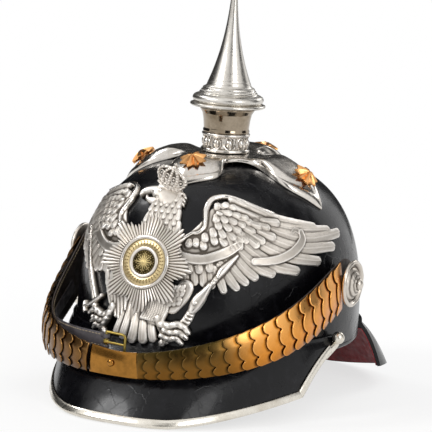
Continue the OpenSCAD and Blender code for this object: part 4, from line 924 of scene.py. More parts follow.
# Breast and neck, with layered feathers
plate.stroke([[-2, 30, 13], [-1, 50, 17], [0, 68, 15], [0.6, 80, 11], [0.2, 90, 9.2], [-1.5, 97, 8.4]],
             (1.6, 2.0), 1.3, 3)
for row in range(9):
    h = 98 - row * 3.4
    spread = lerp(5.6, 9.0, row / 8)
    for col in range(-2, 3):
        a = lerp(-1.4, 0.4, row / 8) + (col + 0.5 * (row % 2)) * spread / 2.1
        plate.feather([[a, h + 2.6, 1.7], [a + 0.12 * col, h - 1.6, 1.9]], (3.0, 3.4), 0.8, 2.4, 0, 0.18, 0.1)
for k in range(-6, 7):
    a = k * 1.55 + 0.5
    plate.feather([[a * 0.8, 76, 1.1], [a * 1.25, 66, 1.2]], (3.0, 2.6), 0.9, 2.4, 0, 0.15)

# Head with its hooked beak, turned to the wearer's right
plate.stroke([[-1, 97, 7.6], [-5.5, 99.2, 6.0], [-9.0, 99.8, 4.4]], 2.7, 1.8, 2.6)
plate.stroke([[-7.6, 100.9, 3.4], [-12.4, 101.0, 3.0], [-16.2, 100.4, 2.4], [-18.7, 98.9, 1.8],
              [-19.0, 96.6, 0.8]], (3.4, 2.8), 1.3, 2.4, shine=0.3)
plate.stroke([[-6.0, 95.4, 2.8], [-10.2, 94.9, 2.2], [-12.9, 95.3, 1.5], [-14.4, 96.6, 0.9]], (3.1, 2.6),
             1.1, 2.4, shine=0.3)
plate.stroke([[-6.0, 102.4, 0.9], [-9.8, 102.4, 0.9]], 4.7, 0.7)
plate.stroke([[-7.6, 100.4, 0.8], [-7.3, 100.4, 0.8]], 4.6, 0.8, shine=0.6)
plate.stroke([[-12.0, 98.7, 0.5], [-9.6, 98.9, 0.5]], 3.2, 0.5)

# Crown's ribbon and cushion, below the crown that stands clear of the base's front arm
plate.stroke([[-11, 102.4, 3.4], [-5, 103.4, 3.6], [2.0, 102.2, 3.2]], 1.6, 1.0, 3)
for dh in (0, -2.0, -3.9):
    plate.stroke([[3.6, 101.4 + dh, 0.9], [6.4, 100.4 + dh, 1.0], [8.5, 98.4 + dh, 0.8]], 2.6 + 0.1 * dh,
                 0.9, 2, shine=0.3)

# Tail feathers, rounded at their tips
for root, mid, tip, w in (((-8.6, 35), (-9.6, 20), (-11.4, 9.2), 2.2),
                          ((-6.0, 33), (-6.9, 17), (-8.2, 7.4), 2.6),
                          ((-3.0, 30), (-3.0, 14), (-3.8, 6.4), 3.2), ((0.2, 30), (0.7, 14), (0.9, 7.0), 3.2),
                          ((3.0, 30), (4.1, 16), (5.0, 8.6), 2.7)):
    plate.feather([[*root, w * 0.8], [*mid, w], [*tip, w * 1.02]], (1.3, 1.2), 1.6, 2.8, 0, 0.3, 0.22)

# Leg on the wearer's right, with its long plumes
plate.stroke([[-13, 46, 9], [-14.5, 38, 8], [-13.6, 31, 5.6]], (2.0, 1.6), 1.5, 2.6)
for k, (a0, h0, a1, h1) in enumerate(((-19.0, 38, -16.6, 27.5), (-17.2, 38, -14.4, 22.5),
                                      (-15.2, 38, -12.2, 19.6), (-13.2, 38, -10.6, 18.8),
                                      (-11.2, 37, -9.4, 22.0), (-9.2, 36, -8.2, 25.0))):
    plate.feather([[a0, h0, 1.5], [lerp(a0, a1, 0.5), lerp(h0, h1, 0.5), 1.75], [a1, h1, 1.2]], (2.8, 2.0),
                  1.3, 2.4, 0, 0.2, 0.1)
for a, h in ((-20.5, 45), (-17.6, 44.4), (-14.8, 43.8), (-19.8, 41.2), (-16.6, 40.8), (-13.6, 40.4)):
    plate.feather([[a - 0.3, h + 1.8, 1.7], [a + 0.5, h - 1.6, 1.9]], (3.0, 3.4), 0.8, 2.4, 0, 0.15, 0.1)

# Leg on the wearer's left: feathered thigh, fringe and shank
plate.stroke([[16, 44, 5.4], [14.2, 38, 5.8], [11.4, 31, 5.0]], (2.4, 2.0), 2.0, 2.4)
for k in range(4):
    for c in range(3):
        a, h = 11.6 + 1.7 * c + 0.5 * (k % 2) - 0.45 * k, 42.6 - 3.0 * k + 0.5 * c
        plate.feather([[a + 0.4, h + 1.5, 1.4], [a - 0.3, h - 1.2, 1.6]], (4.3 - 0.1 * k, 4.5 - 0.1 * k),
                      0.7, 2.4, 0, 0.12, 0.1)
plate.stroke([[5.6, 35.5, 5.6], [5.6, 29, 6.6], [4.6, 23.6, 6.2]], (2.6, 2.2), 1.7, 2.6)
for k in range(10):
    t = k / 9
    plate.feather([[lerp(1.6, 9.8, t), lerp(36.4, 35.0, t), 1.0],
                   [lerp(1.0, 9.6, t), lerp(28.0, 27.4, t), 1.1],
                  [lerp(-0.4, 8.0, t), lerp(21.6, 20.4, t), 0.95]], (4.2, 3.4), 0.8, 2.2, 0, 0.1)

# Sword in the claw on the wearer's right
plate.stroke([[-26.3, 27, 2.3], [-29.6, 34.2, 2.4], [-33.0, 42, 2.4], [-37.4, 52, 2.2], [-42.4, 62, 1.9],
              [-48.4, 70, 1.2]], (2.4, 1.7), 1.1, 4, groove=0.6, rim=0.3, shine=0.6)
plate.stroke([[-31.4, 20.4, 1.5], [-28.4, 22.4, 1.5], [-25.4, 26.2, 1.6], [-22.2, 30.2, 1.6]], 2.6, 1.7, 2,
             shine=0.4)
plate.stroke([[-32.2, 22.6, 1.3], [-31.8, 20.0, 1.7], [-30.6, 17.4, 1.5]], 2.7, 1.8, 2.4, shine=0.4)
plate.stroke([[-25.4, 22.6, 2.2], [-22.8, 18.4, 2.1], [-20.0, 13.2, 2.4], [-18.4, 9.4, 2.3]], 2.1, 1.7, 2,
             rings=3.2, shine=0.3)
plate.stroke([[-18.2, 8.6, 2.7], [-17.8, 7.2, 2.7]], 2.4, 1.8, 2, shine=0.5)
for path in ([[-14.4, 25.4, 2.7], [-15.4, 21.2, 2.4], [-18.4, 18.6, 2.1], [-21.6, 20.0, 2.1],
              [-24.4, 20.4, 1.9], [-26.2, 17.4, 1.4]],
             [[-15.2, 20.6, 2.2], [-16.8, 16.4, 2.0], [-19.4, 14.8, 2.0], [-22.2, 15.4, 1.8],
              [-24.0, 12.6, 1.3]],
             [[-16.0, 17.0, 1.9], [-17.4, 12.6, 1.8], [-19.4, 10.8, 1.8], [-21.6, 11.2, 1.6],
              [-22.6, 8.6, 1.1]]):
    plate.stroke(path, (3.4, 3.6), 1.7, 2, rings=4.4, shine=0.2)
for a, h in ((-24.4, 15.6), (-22.2, 10.8)):
    plate.stroke([[a, h, 1.3], [a - 0.2, h - 0.5, 1.3]], 3.0, 1.3, 2, shine=0.5)

# Sceptre in the claw on the wearer's left
plate.stroke([[8.9, 6.4, 2.5], [9.2, 7.2, 2.5]], 2.3, 2.0, 2, shine=0.5)
plate.stroke([[10.2, 8.4, 2.8], [12.6, 12.6, 3.2], [15.3, 17.7, 3.3], [17.6, 23.2, 3.3], [19.0, 28.6, 3.0]],
             2.3, 1.9, 2, rings=2.6, shine=0.2)
plate.stroke([[19.2, 29.4, 3.0], [20.2, 32.6, 4.0], [21.6, 36.8, 4.2], [22.9, 40.2, 3.5], [24.2, 43.6, 2.6],
              [25.2, 46.6, 2.0]], 2.3, 2.7, 2, shine=0.4)
plate.stroke([[19.9, 34.4, 1.5], [20.1, 34.8, 1.5]], 4.5, 1.2, 2, shine=0.5)
plate.stroke([[25.4, 46.0, 1.7], [28.4, 53.0, 1.5]], 2.6, 1.3, 2, rings=2.6, shine=0.5)
plate.stroke([[28.2, 52.4, 1.6], [29.8, 56.4, 2.5], [32.4, 61.0, 1.9], [35.4, 66.0, 0.9]], (3.0, 2.6), 1.7,
             2, shine=0.5)
plate.stroke([[6.6, 22.6, 3.4], [8.4, 18.8, 3.0], [11.4, 18.4, 2.7], [14.2, 19.8, 2.5], [16.6, 18.4, 2.3],
              [18.6, 15.0, 1.7]], (2.9, 3.8), 1.8, 2, rings=4.6, shine=0.2)
for path in ([[9.6, 15.4, 2.3], [12.6, 14.2, 2.4], [15.4, 14.8, 2.3], [17.8, 11.6, 1.7]],
             [[8.6, 11.6, 2.0], [11.6, 10.0, 2.2], [14.2, 10.6, 2.1], [16.4, 7.6, 1.5]]):
    plate.stroke(path, (3.4, 3.8), 1.8, 2, rings=4.4, shine=0.2)
plate.stroke([[6.8, 19.2, 2.2], [8.2, 14.6, 1.7], [8.8, 10.4, 1.2]], 1.7, 1.5, 2, rings=3.4)


def plate_base(h):
    """Lift of the plate, which steps out over the visor's flange."""
    return SEAT + 3.4 * ease((34 - h) / 24)


v, f, attrs = plate.part(plate_base)
put("eagle_relief", (v, f), FROSTED, nodes=["eagle_plate"], smooth=60, attrs=attrs)


# Crown of the eagle, standing clear of the front arm

# Marks for solid pieces: an even level of the painted-light mark, a little towards the bright
# painted-highlight colour
def solid_attrs(part, shine=0.3):
    n = len(part[0])
    return {"relief": np.full(n, 0.68), "shine": np.full(n, shine)}


crown_o = on_side(-4.6, 102.8, 3.0)
lean = math.radians(-22)
cx, cy, cz = unit(arr([1, -0.09, 0])), unit(arr([0, -0.12, 0.99])), arr([0, -0.99, -0.12])
cx, cy = cx * math.cos(lean) + cy * math.sin(lean), cy * math.cos(lean) - cx * math.sin(lean)


def crown_pts(p):
    """Points [across, up, out] of the crown's own plane, bent round towards its sides."""
    p = arr(p)
    out = p[..., 2:] - 0.022 * p[..., :1] ** 2 + 1.4
    return crown_o + p[..., :1] * cx + 0.9 * p[..., 1:2] * cy + out * cz


crown_bits = []


def crown_rod(path, radius, **k):
    v, f = swept(arr(path), radius, 8, **k)
    crown_bits.append((crown_pts(v), f))


def crown_bead(place, *size):
    v, f = ball(*size)
    crown_bits.append((crown_pts(v + place), f))


band_x = np.linspace(-9.2, 9.2, 25)
for y, r in ((0.3, 0.55), (3.3, 0.6)):
    crown_rod([[x, y + 0.012 * x * x, 1.4] for x in band_x], r)
crown_rod([[x, 1.8 + 0.012 * x * x, 0.7] for x in band_x], 1.5, flat=0.7)
for x in np.linspace(-7.8, 7.8, 7):
    crown_bead([x, 1.8 + 0.012 * x * x, 1.9], 0.8, 12, 8, (1.3, 1.0, 0.8))
for x in np.linspace(-8.4, 8.4, 5):
    top = curve([[x, 3.6, 1.2], [x * 1.36, 8.4, 2.0], [x * 1.25, 12.6, 2.0], [x * 0.72, 16.0, 1.4],
                 [x * 0.12, 17.4, 0.8]], 6)
    crown_rod(top, 1.1)
    for k in range(2, len(top) - 2, 3):
        crown_bead(top[k] + [0, 0, 0.6], 1.15, 10, 7)
for x in (-6.6, -2.3, 2.3, 6.6):
    leaf = [[x, 3.6, 1.0], [x * 1.06, 6.2, 1.5], [x * 1.06, 8.2, 1.3]]
    crown_rod(curve(leaf, 4), [1.2, 1.3, 1.5, 1.7, 1.6, 1.3, 1.0, 0.7, 0.4], flat=0.5)
tt = around(20)
for x, y in ((-8.3, 9.4), (-2.9, 9.4), (2.9, 9.4), (8.3, 9.4)):
    crown_rod(np.stack([x + 1.9 * np.cos(tt), y + 2.3 * np.sin(tt), np.full(20, 1.9)], -1), 0.6, closed=True)
    crown_bead([x, y, 1.9], 1.0, 10, 7)
crown_bead([0, 18.6, 1.2], 1.75, 16, 10)
for a, b in (([0, 19.8, 1.2], [0, 22.6, 1.2]), ([-1.2, 21.4, 1.2], [1.2, 21.4, 1.2])):
    crown_rod([a, b], 0.5)
crown_part = join(*crown_bits)
put("eagle_crown", crown_part, FROSTED, attrs=solid_attrs(crown_part, 0.2))
cap = [[-8.8, 0.4], [8.8, 0.4], [11.9, 8.4], [11.0, 12.2], [6.6, 15.6], [1.2, 17.2], [-1.2, 17.2],
       [-6.6, 15.6], [-11.0, 12.2], [-11.9, 8.4]]
cap = rounded(cap + cap[:1], 2.0, 4)
fan = lambda z, k: crown_pts(np.stack([cap[:, 0] * k, 8 + (cap[:, 1] - 8) * k, np.full(len(cap), z)], -1))
cap_rings = [fan(z, k) for z, k in ((0.0, 0.3), (0.0, 0.98), (0.5, 1.0), (1.0, 0.97), (1.9, 0.5),
                                    (2.1, 0.06))]
put("eagle_crown_cap", tube(cap_rings), FROSTED)


# Guard star with its ring, gilt band and middle

GUARD_AT, GUARD_LIFT = (-1.4, 57), 4.2
guard_c = side(*GUARD_AT)
guard_n = skull_n(guard_c)
guard_o = guard_c + guard_n * GUARD_LIFT


def on_guard(part, z=0.0):
    """A part set on the star's middle, its Z outward."""
    return placed((arr(part[0]) + [0, 0, z], part[1]), guard_o, guard_n)


RAYS, PER_RAY = 72, 8
spoke = np.arange(RAYS * PER_RAY)
ang = spoke * 2 * math.pi / len(spoke)
across = np.abs(np.mod(spoke / PER_RAY, 1) - 0.5) * 2
ray = np.floor(spoke / PER_RAY)
length = 34.6 * (0.89 + 0.11 * np.cos(8 * ang)) * (1 + 0.03 * np.sin(ray * 2.4) + 0.02 * np.sin(ray * 5.1))
rows, under = [], []
for k in np.linspace(0, 1, 12):
    tip = length - 3.6 * across ** 1.3
    r = lerp(14.0, tip, k)
    z = lerp(2.2, 0.7, k) + 1.05 * (1 - across ** 1.3) * ease(k * 5) * (1 - 0.4 * k)
    rows.append(np.stack([r * np.cos(ang), r * np.sin(ang), z], -1))
    under.append(np.stack([r * np.cos(ang), r * np.sin(ang), np.full(len(ang), 0.5 * (1 - k))], -1))
v, f = shell(np.stack(rows), np.stack(under), True)
# Painted light: each ray lighter along its ridge as a painted highlight, darker towards its edges, its inner
# row and its underside as painted shade
relief = np.concatenate([np.tile(0.86 - 0.86 * across ** 2, 12), np.zeros(12 * len(ang))])
relief[:len(ang)] = 0.3
put("guard_star_rays", on_guard((v, f)), FROSTED, nodes=["guard_star"], smooth=50,
    attrs={"relief": relief, "shine": np.full(len(v), 0.25)})
RING, FACE_Z = 18.8, 2.25
ring = lathe([[RING - 3.1, 0.05], [RING - 0.1, 0.05]] + arc(RING - 1.6, 0.7, 1.5, 1.5, -10, 191, 15)
             + [[RING - 3.1, 0.4]], 120)
put("guard_star_ring", on_guard(ring, FACE_Z), SILVER, nodes=["star_ring"], smooth=50)
face = [lathe([[15.4, 0.05], [15.5, 0.7], [15.1, 1.0], [11.0, 1.05], [10.7, 0.9], [0.01, 0.9]], 96)]
for k in range(36):
    a = k * 2 * math.pi / 36
    for side_r, turn, wide, tall in ((14.1, 0.3, 0.42, 0.8), (12.5, -0.3, 0.42, 1.0)):
        v, f = ball(1.0, 10, 7, (tall, wide, 0.5))
        face.append((spun(spun(v, turn) + [side_r, 0, 1.05], a), f))
face_part = join(*face)
top = face_part[0][:, 2]
# Upper halves of the beads painted dark, the floor a little towards the bright colour
put("guard_star_band", on_guard(face_part, FACE_Z), GILT_OLD, nodes=["star_centre"], smooth=45,
    attrs={"relief": np.where(top > 1.3, 0.05, 0.62)})
inner_ring = lathe([[8.1, 1.0]] + arc(9.5, 1.1, 1.35, 1.15, 170, -1, -17) + [[10.8, 0.95]], 96)
# Painted light: the ring's roll lighter towards its top, darker at its foot
put("guard_star_inner_ring", on_guard(inner_ring, FACE_Z), OLD_SILVER, smooth=50,
    attrs={"relief": np.clip((inner_ring[0][:, 2] - 1.0) / 1.2, 0.1, 0.9)})
mid = [lathe([[8.3, 1.05], [8.1, 1.25], [0.01, 1.6]], 64)]
for k in range(16):
    a = k * math.pi / 8
    far = 6.9 if k % 2 == 0 else 4.8
    mid.append(swept([[1.3 * math.cos(a), 1.3 * math.sin(a), 1.6],
                      [far * math.cos(a), far * math.sin(a), 1.4]], [0.5, 0.35], 8))
for count, r, size in ((28, 7.5, 0.4), (16, 5.6, 0.5), (8, 3.2, 0.45)):
    for k in range(count):
        a = (k + 0.5) * 2 * math.pi / count
        v, f = ball(size, 8, 6)
        mid.append((v + [r * math.cos(a), r * math.sin(a), 1.45], f))
v, f = ball(1.5, 16, 8, (1, 1, 0.6))
mid.append((v + [0, 0, 1.6], f))
mid_part = join(*mid)
# Painted light: raised ribs and beads lighter, the floor between them darker
put("guard_star_middle", on_guard(mid_part, FACE_Z), GILT_DARK, smooth=45,
    attrs={"relief": np.clip((mid_part[0][:, 2] - 1.35) / 0.7, 0, 1)})


# Chinscale loop: a path from one rosette round the front to the other, t from -90 to 90

PIVOT_X, PIVOT_Y, PIVOT_Z = HALF_W + 3.6, 5.0, 45.0
LOOP_REACH, LOOP_DROP, SCALE_W, FRONT_W, STRAP_T = 138.1, 51.0, 35.0, 17.0, 2.0
tt = np.radians(np.linspace(-90, 90, 61))
st, ct = np.abs(np.sin(tt)), np.maximum(0, np.cos(tt))
loop_xyz = np.stack([np.sign(tt) * PIVOT_X * st - np.where(tt < 0, 5, -14) * np.sin(2 * tt) ** 2,
                     -PIVOT_Y - (LOOP_REACH - PIVOT_Y) * ct ** np.where(tt < 0, 0.95, 1.18),
                     PIVOT_Z - LOOP_DROP * np.where(tt < 0, 1 - (1 - ct) ** 3 - 0.4 * ct * (1 - ct),
                                                    ct ** 1.44)], -1)
loop_s = np.concatenate([[0], np.cumsum(np.linalg.norm(np.diff(loop_xyz, axis=0), axis=1))])
LOOP_L = loop_s[-1]
ENDS = [arr([0, math.cos(q), math.sin(q)]) for q in np.radians([42, 16])]


def at_s(s):
    """Place on the loop at distance s from the wearer's right rosette; its ends run straight on."""
    s = arr(s)
    c = np.clip(s, 0, LOOP_L)
    p = np.stack([np.interp(c, loop_s, loop_xyz[:, k]) for k in range(3)], -1)
    before, after = np.where(s < 0, -s, 0)[..., None], np.where(s > LOOP_L, s - LOOP_L, 0)[..., None]
    return p + before * ENDS[0] + after * ENDS[1]


def smooth_at(s):
    """The same place, eased over a few millimetres so that no corner shows."""
    return sum(at_s(arr(s) + d) for d in (-4, -2, 0, 2, 4)) / 5


def along(s):
    """Direction of the loop as s grows."""
    s = arr(s)
    t = unit(at_s(np.minimum(LOOP_L, s + 6)) - at_s(np.maximum(0, s - 6)))
    t = np.where((s < 3)[..., None], -ENDS[0], t)
    return np.where((s > LOOP_L - 3)[..., None], ENDS[1], t)


def frame_at(s):
    """Directions along the loop, across it and out of it."""
    t = along(s)
    o = unit(np.stack([t[..., 1], -t[..., 0], np.zeros_like(t[..., 0])], -1))
    return t, np.cross(o, t), o


def width(s):
    """Width of the loop, which narrows to the front."""
    return FRONT_W + (SCALE_W - FRONT_W) * np.abs(np.sin(np.interp(np.clip(s, 0, LOOP_L), loop_s, tt))) ** 1.5


def on_loop(s, w, n):
    """Point of the loop at distance s, w across it and n out of it."""
    s, w, n = np.broadcast_arrays(arr(s), arr(w), arr(n))
    t, u, o = frame_at(s)
    return smooth_at(s) + u * w[..., None] + o * n[..., None]


def by_loop(part, s, w, n):
    """A part moved there, its X along the loop and its Z outward."""
    v, f = part
    t, u, o = frame_at(arr(s))
    v = arr(v)
    return smooth_at(arr(s)) + u * w + o * n + v[:, :1] * t + v[:, 1:2] * u + v[:, 2:] * o, f


def lobe(v):
    """Free edge of a scale across its width: one lobe in the middle and a lower one at each side."""
    a = np.abs(v)
    mid = np.maximum(0, 1 - (a / 0.46) ** 2) ** 0.62
    out = 0.84 * np.maximum(0, 1 - ((a - 0.73) / 0.29) ** 2) ** 0.62
    return np.maximum(mid, out)


PLATE_S, PLATE_L, SCALE_T = LOOP_L / 2 + 13, 38.0, 0.9
OVERLAP, ROW_GAP = 0.52, 7


def scale_row(left, count):
    """Convex three-lobed plates, laid like tiles and pointing away from the rosette."""
    run = LOOP_L - PLATE_S - ROW_GAP if left else PLATE_S - PLATE_L - ROW_GAP
    start = lambda i: ROW_GAP + run * i / count * (1.18 - 0.18 * i / count)
    vs = np.sin(np.radians(np.linspace(-90, 90, 45)))
    parts, relief, tone = [], [], []
    for i in range(count):
        d0, pitch = start(i), start(i + 1) - start(i)
        over = 0.03 if i == count - 1 else OVERLAP
        xs = np.concatenate([np.linspace(0, 0.8, 6), np.linspace(0.86, 1, 8)])
        x, v = np.meshgrid(xs, vs, indexing="ij")
        reach = x * (1 + over * lobe(v)) if over > 0.1 else x
        edge = np.clip((1 - x) * pitch * (1 + over), 0, 1)
        side_edge = np.clip((1 - np.abs(v)) * 8, 0, 1)
        round_off = (1 - np.sqrt(1 - (1 - edge) ** 2)) + (1 - np.sqrt(1 - (1 - side_edge) ** 2)) * 0.7
        s = d0 + reach * pitch
        s = LOOP_L - s if left else s
        puff = ease((d0 + reach * pitch) / 26) * 0.085 * width(s) * (1 - v * v)
        arch = 0.45 * np.sin(math.pi * np.clip(x, 0, 1)) * (1 - v * v)
        lift = SEAT + 1.7 * x + puff + arch + 0.5 * x * lobe(v)
        half = width(s) / 2
        outer = on_loop(s, v * half, lift + SCALE_T - 0.45 * round_off)
        inner = on_loop(s, v * half, lift)
        parts.append(shell(outer, inner) if left else shell(outer[:, ::-1], inner[:, ::-1]))
        # Painted shade beside the scale before it and on the free edge's wall and underside, a painted
        # highlight along that edge's top, and one side of each scale paler as painted light
        cover = OVERLAP * lobe(v) * (1.04 if i else 0)
        rim = 0.55 * np.exp(-((1 - x) * pitch * (1 + over) / 0.55) ** 2) * (edge > 0.25)
        shade = np.clip(((reach - cover) * pitch - 0.65) / 1.7, 0, 1) ** 0.8 * np.clip(edge * 6, 0.4, 1)
        bright = np.clip(shade * (0.62 + 0.26 * v) + rim, 0, 1)
        order = slice(None) if left else slice(None, None, -1)
        relief.append(np.concatenate([bright[:, order].ravel(), np.zeros(bright.size)]))
        # Painted shade: the wearer's left row darkens towards the front plate, the right row is darkest at its
        # rosette
        d = d0 + reach[:, order] * pitch
        painted_shade_share = ease((d - 98) / 36) * (0.87 + 0.13 * v[:, order]) if left else 1 - 0.45 * ease((d - 40) / 80)
        tone.append(np.tile(painted_shade_share.ravel(), 2))
    return join(*parts), {"relief": np.concatenate(relief), "tone": np.concatenate(tone)}


for name, left, count in (("left", True, 18), ("right", False, 14)):
    row, marks = scale_row(left, count)
    put("chinscales_" + name, row, GILT if left else GILT_PAINTED_SHADE, "chin_loop", ["scales_on_" + name],
        50, attrs=marks)

# Leather of the loop, with rounded tab ends and a row of stitches along each edge
TAB_R = SCALE_W / 2 - 1
ss = np.concatenate([-TAB_R * np.sin(np.radians(np.linspace(88, 6, 14))), np.linspace(0, LOOP_L, 120),
                     LOOP_L + TAB_R * np.sin(np.radians(np.linspace(6, 88, 14)))])
past = np.maximum(0, np.maximum(-ss, ss - LOOP_L))
hw = (width(ss) / 2 - 1) * np.sqrt(np.maximum(0.001, 1 - (past / TAB_R) ** 2))
vs = np.linspace(-1, 1, 13)
s2, v2 = np.meshgrid(ss, vs, indexing="ij")
w2 = v2 * hw[:, None]
soft = 0.6 * np.abs(v2) ** 12
put("chin_strap_leather", shell(on_loop(s2, w2, -soft), on_loop(s2, w2, -STRAP_T + soft)), STRAP,
    "chin_loop", ["chin_leather"], 60)
stitches = []
for edge in (-1, 1):
    for s in np.arange(6, LOOP_L - 6, 3.2):
        h = edge * (width(s) / 2 - 2.6)
        path = on_loop(s + arr([-1.0, -0.6, 0, 0.6, 1.0]), h,
                       -STRAP_T + arr([0.25, -0.18, -0.3, -0.18, 0.25]))
        stitches.append(swept(path, 0.28, 6, normal=(0.1, 0.2, 1)))
put("chin_strap_stitches", join(*stitches), THREAD, "chin_loop", (), 60)

# Front plate and its stud
ss = np.linspace(PLATE_S - SEAT, PLATE_S - PLATE_L + SEAT, 40)
vs = np.sin(np.radians(np.linspace(-90, 90, 25)))
s2, v2 = np.meshgrid(ss, vs, indexing="ij")
up = SEAT + 0.085 * FRONT_W * (1 - v2 * v2)
end = np.clip(np.minimum(ss[0] - ss, ss - ss[-1]) / 0.9, 0, 1)[:, None]
rolled = 1 - np.sqrt(1 - (1 - end) ** 2)
put("front_plate_smooth", shell(on_loop(s2, v2 * width(s2) / 2, up + SCALE_T - 0.5 * rolled)[::-1],
                                on_loop(s2, v2 * width(s2) / 2, up)[::-1]),
    PLATE, "chin_loop", ["front_plate"], 50)
stud_prof = [[0.01, 0], [1.1, 0], [1.1, 2.6], [2.3, 2.7]] + arc(0, 3.4, 2.4, 1.3, -20, 88, 12) + [[0.01, 4.7]]
put("front_plate_stud", by_loop(lathe(stud_prof, 32), PLATE_S - PLATE_L / 2, 0, 0), PLATE, "chin_loop",
    ["front_stud"], 50)


# Buckle on its own short strap behind the loop's upper edge

BUCKLE_S, BUCKLE_W, BUCKLE_N = PLATE_S - PLATE_L * 0.55, FRONT_W / 2 + 3.5, -STRAP_T - 3


def by_buckle(part):
    return by_loop(part, BUCKLE_S, BUCKLE_W, BUCKLE_N)


s1 = BUCKLE_S - 11.6
ss, vs = np.linspace(40, s1 + 1.4, 70), np.linspace(-1, 1, 11)
rise = BUCKLE_W * ease((ss - 40) / (s1 - 40))
dip = -STRAP_T - 2 * SEAT - (-BUCKLE_N - STRAP_T - 2 * SEAT - 0.35) * ease((ss - s1 + 24) / 22)
s2, v2 = np.meshgrid(ss, vs, indexing="ij")
soft = 0.5 * np.abs(v2) ** 10
bits = [shell(on_loop(s2, rise[:, None] + v2 * 5, dip[:, None] - soft),
              on_loop(s2, rise[:, None] + v2 * 5, dip[:, None] - 1.6 + soft))]
for y in (-3.6, 3.6):
    path = curve([[-12.6, y, -0.3], [-10.8, y, 0.1], [-9.6, y, 1.2], [-8, y, 1.85], [-6.5, y, 1.1],
                  [-6.1, y, -0.1], [-6.7, y, -1.3], [-8, y, -1.8], [-10, y, -1.35], [-12.4, y, -1.1]], 4)
    nrm = unit(arr([-8, y, 0]) - path)
    bits.append(by_buckle(swept(path, 1.4, 10, flat=0.32, normal=nrm)))
put("buckle_strap_leather", join(*bits), STRAP_GREY, "chin_loop", ["buckle_strap"], 60)
bits = []
for edge in (-1, 1):
    for s in np.arange(46, s1 - 1, 3.0):
        h, d = np.interp(s, ss, rise) + 3.7 * edge, np.interp(s, ss, dip)
        bits.append(swept(on_loop(s + arr([-0.9, -0.5, 0, 0.5, 0.9]), h,
                                  d + arr([-0.3, 0.12, 0.22, 0.12, -0.3])), 0.25, 6, normal=(0.1, 0.2, 1)))
put("buckle_strap_stitches", join(*bits), THREAD, "chin_loop", (), 60)
corner = [[-8, -6.55, 0], [4.6, -6.55, 0], [6.4, -5.9, 0], [7.05, -4.2, 0], [7.05, 4.2, 0], [6.4, 5.9, 0],
          [4.6, 6.55, 0], [-8, 6.55, 0]]
rod = [swept(rounded(corner, 1.6, 4), 0.93, 14),
       swept([[-8, y, 0] for y in (-7.45, -7.3, -6.9, 0, 6.9, 7.3, 7.45)],
             [0.5, 0.85, 0.9, 0.9, 0.9, 0.85, 0.5], 14)]
put("buckle_frame_rod", by_buckle(join(*rod)), BRASS, "chin_loop", ["buckle_frame"], 50)
hub = lathe([[0.96, -1.5], [1.7, -1.5], [2.0, -1.2], [2.0, 1.2], [1.7, 1.5], [0.96, 1.5], [0.96, -1.5]], 28)
hub = (arr(hub[0]) @ arr([[1, 0, 0], [0, 0, 1], [0, -1, 0]]) + [-8, 0, 0], hub[1])
blade = swept(curve([[-7.4, 0, 1.5], [-2, 0, 1.55], [3, 0, 1.5], [6.2, 0, 1.45], [7.35, 0, 1.4]], 4),
              np.interp(np.arange(17), [0, 12, 15, 16], [0.8, 0.72, 0.62, 0.3]),
              12, flat=0.56)
put("buckle_tongue_pin", by_buckle(join(hub, blade)), BRASS, "tongue", ["buckle_tongue"], 50)


# Rosettes with a rolled rim, a valley and a ribbed cone, held by screws with round heads

ROSE_X, ROSE_R = PIVOT_X + SEAT, 16.4
rose = [[2.75, 0], [5.4, 0], [6, 3.3], [11.6, 4.45], [14.6, 4.5]] \
    + arc(ROSE_R - 1.55, 6.1, 1.55, 1.5, -75, 136, 15) \
    + [[13.2, 6.2], [12.4, 5.5], [11.6, 5.6], [11.0, 6.3], [10.2, 7.1], [9.2, 7.5], [8.6, 7.9], [8.0, 8.6],
       [7.0, 9.2], [6.1, 9.5], [5.5, 9.9], [4.8, 10.5], [4.4, 10.6], [2.75, 10.6], [2.75, 0]]
knob = [[0.01, 10.65], [3.9, 10.65], [4.1, 11.0], [3.95, 11.6]] + arc(0, 11.9, 3.5, 1.75, 10, 88, 12) \
    + [[0.01, 13.65]]
for name, prof, node in (("rosette_domes", rose, "rosettes"), ("rosette_knobs", knob, "rosette_screws")):
    bits = []
    for m in (-1, 1):
        v, f = lathe(prof, 96)
        if node == "rosettes":
            # Dented by wear
            q = np.arctan2(v[:, 1], v[:, 0])
            v[:, 2] += (0.14 * np.sin(5 * q + v[:, 2]) + 0.1 * np.sin(11 * q - 2 * v[:, 2])) * (v[:, 2] > 6.6)
        bits.append(placed((v, f), (m * ROSE_X, -PIVOT_Y, PIVOT_Z), (m, 0, 0)))
        if node == "rosette_screws":
            shank = lathe([[0.01, 82.6], [2.1, 82.6], [2.5, 83.0], [2.5, ROSE_X + 11], [0.01, ROSE_X + 11]],
                          32)
            bits.append(placed(shank, (0, -PIVOT_Y, PIVOT_Z), (m, 0, 0)))
    part = join(*bits)
    # Dark rings in the valley and between the ribs: tarnish and painted shade in the grooves
    far = np.hypot(part[0][:, 1] + PIVOT_Y, part[0][:, 2] - PIVOT_Z)
    dark = sum(np.exp(-((far - r) / w) ** 2) for r, w in ((12.2, 1.0), (8.9, 0.6), (5.9, 0.5), (4.2, 0.3)))
    put(name, part, OLD_SILVER, nodes=[node], smooth=42,
        attrs={"relief": np.clip(0.72 - 0.7 * dark, 0, 1)})


# Spine down the back, and its screw

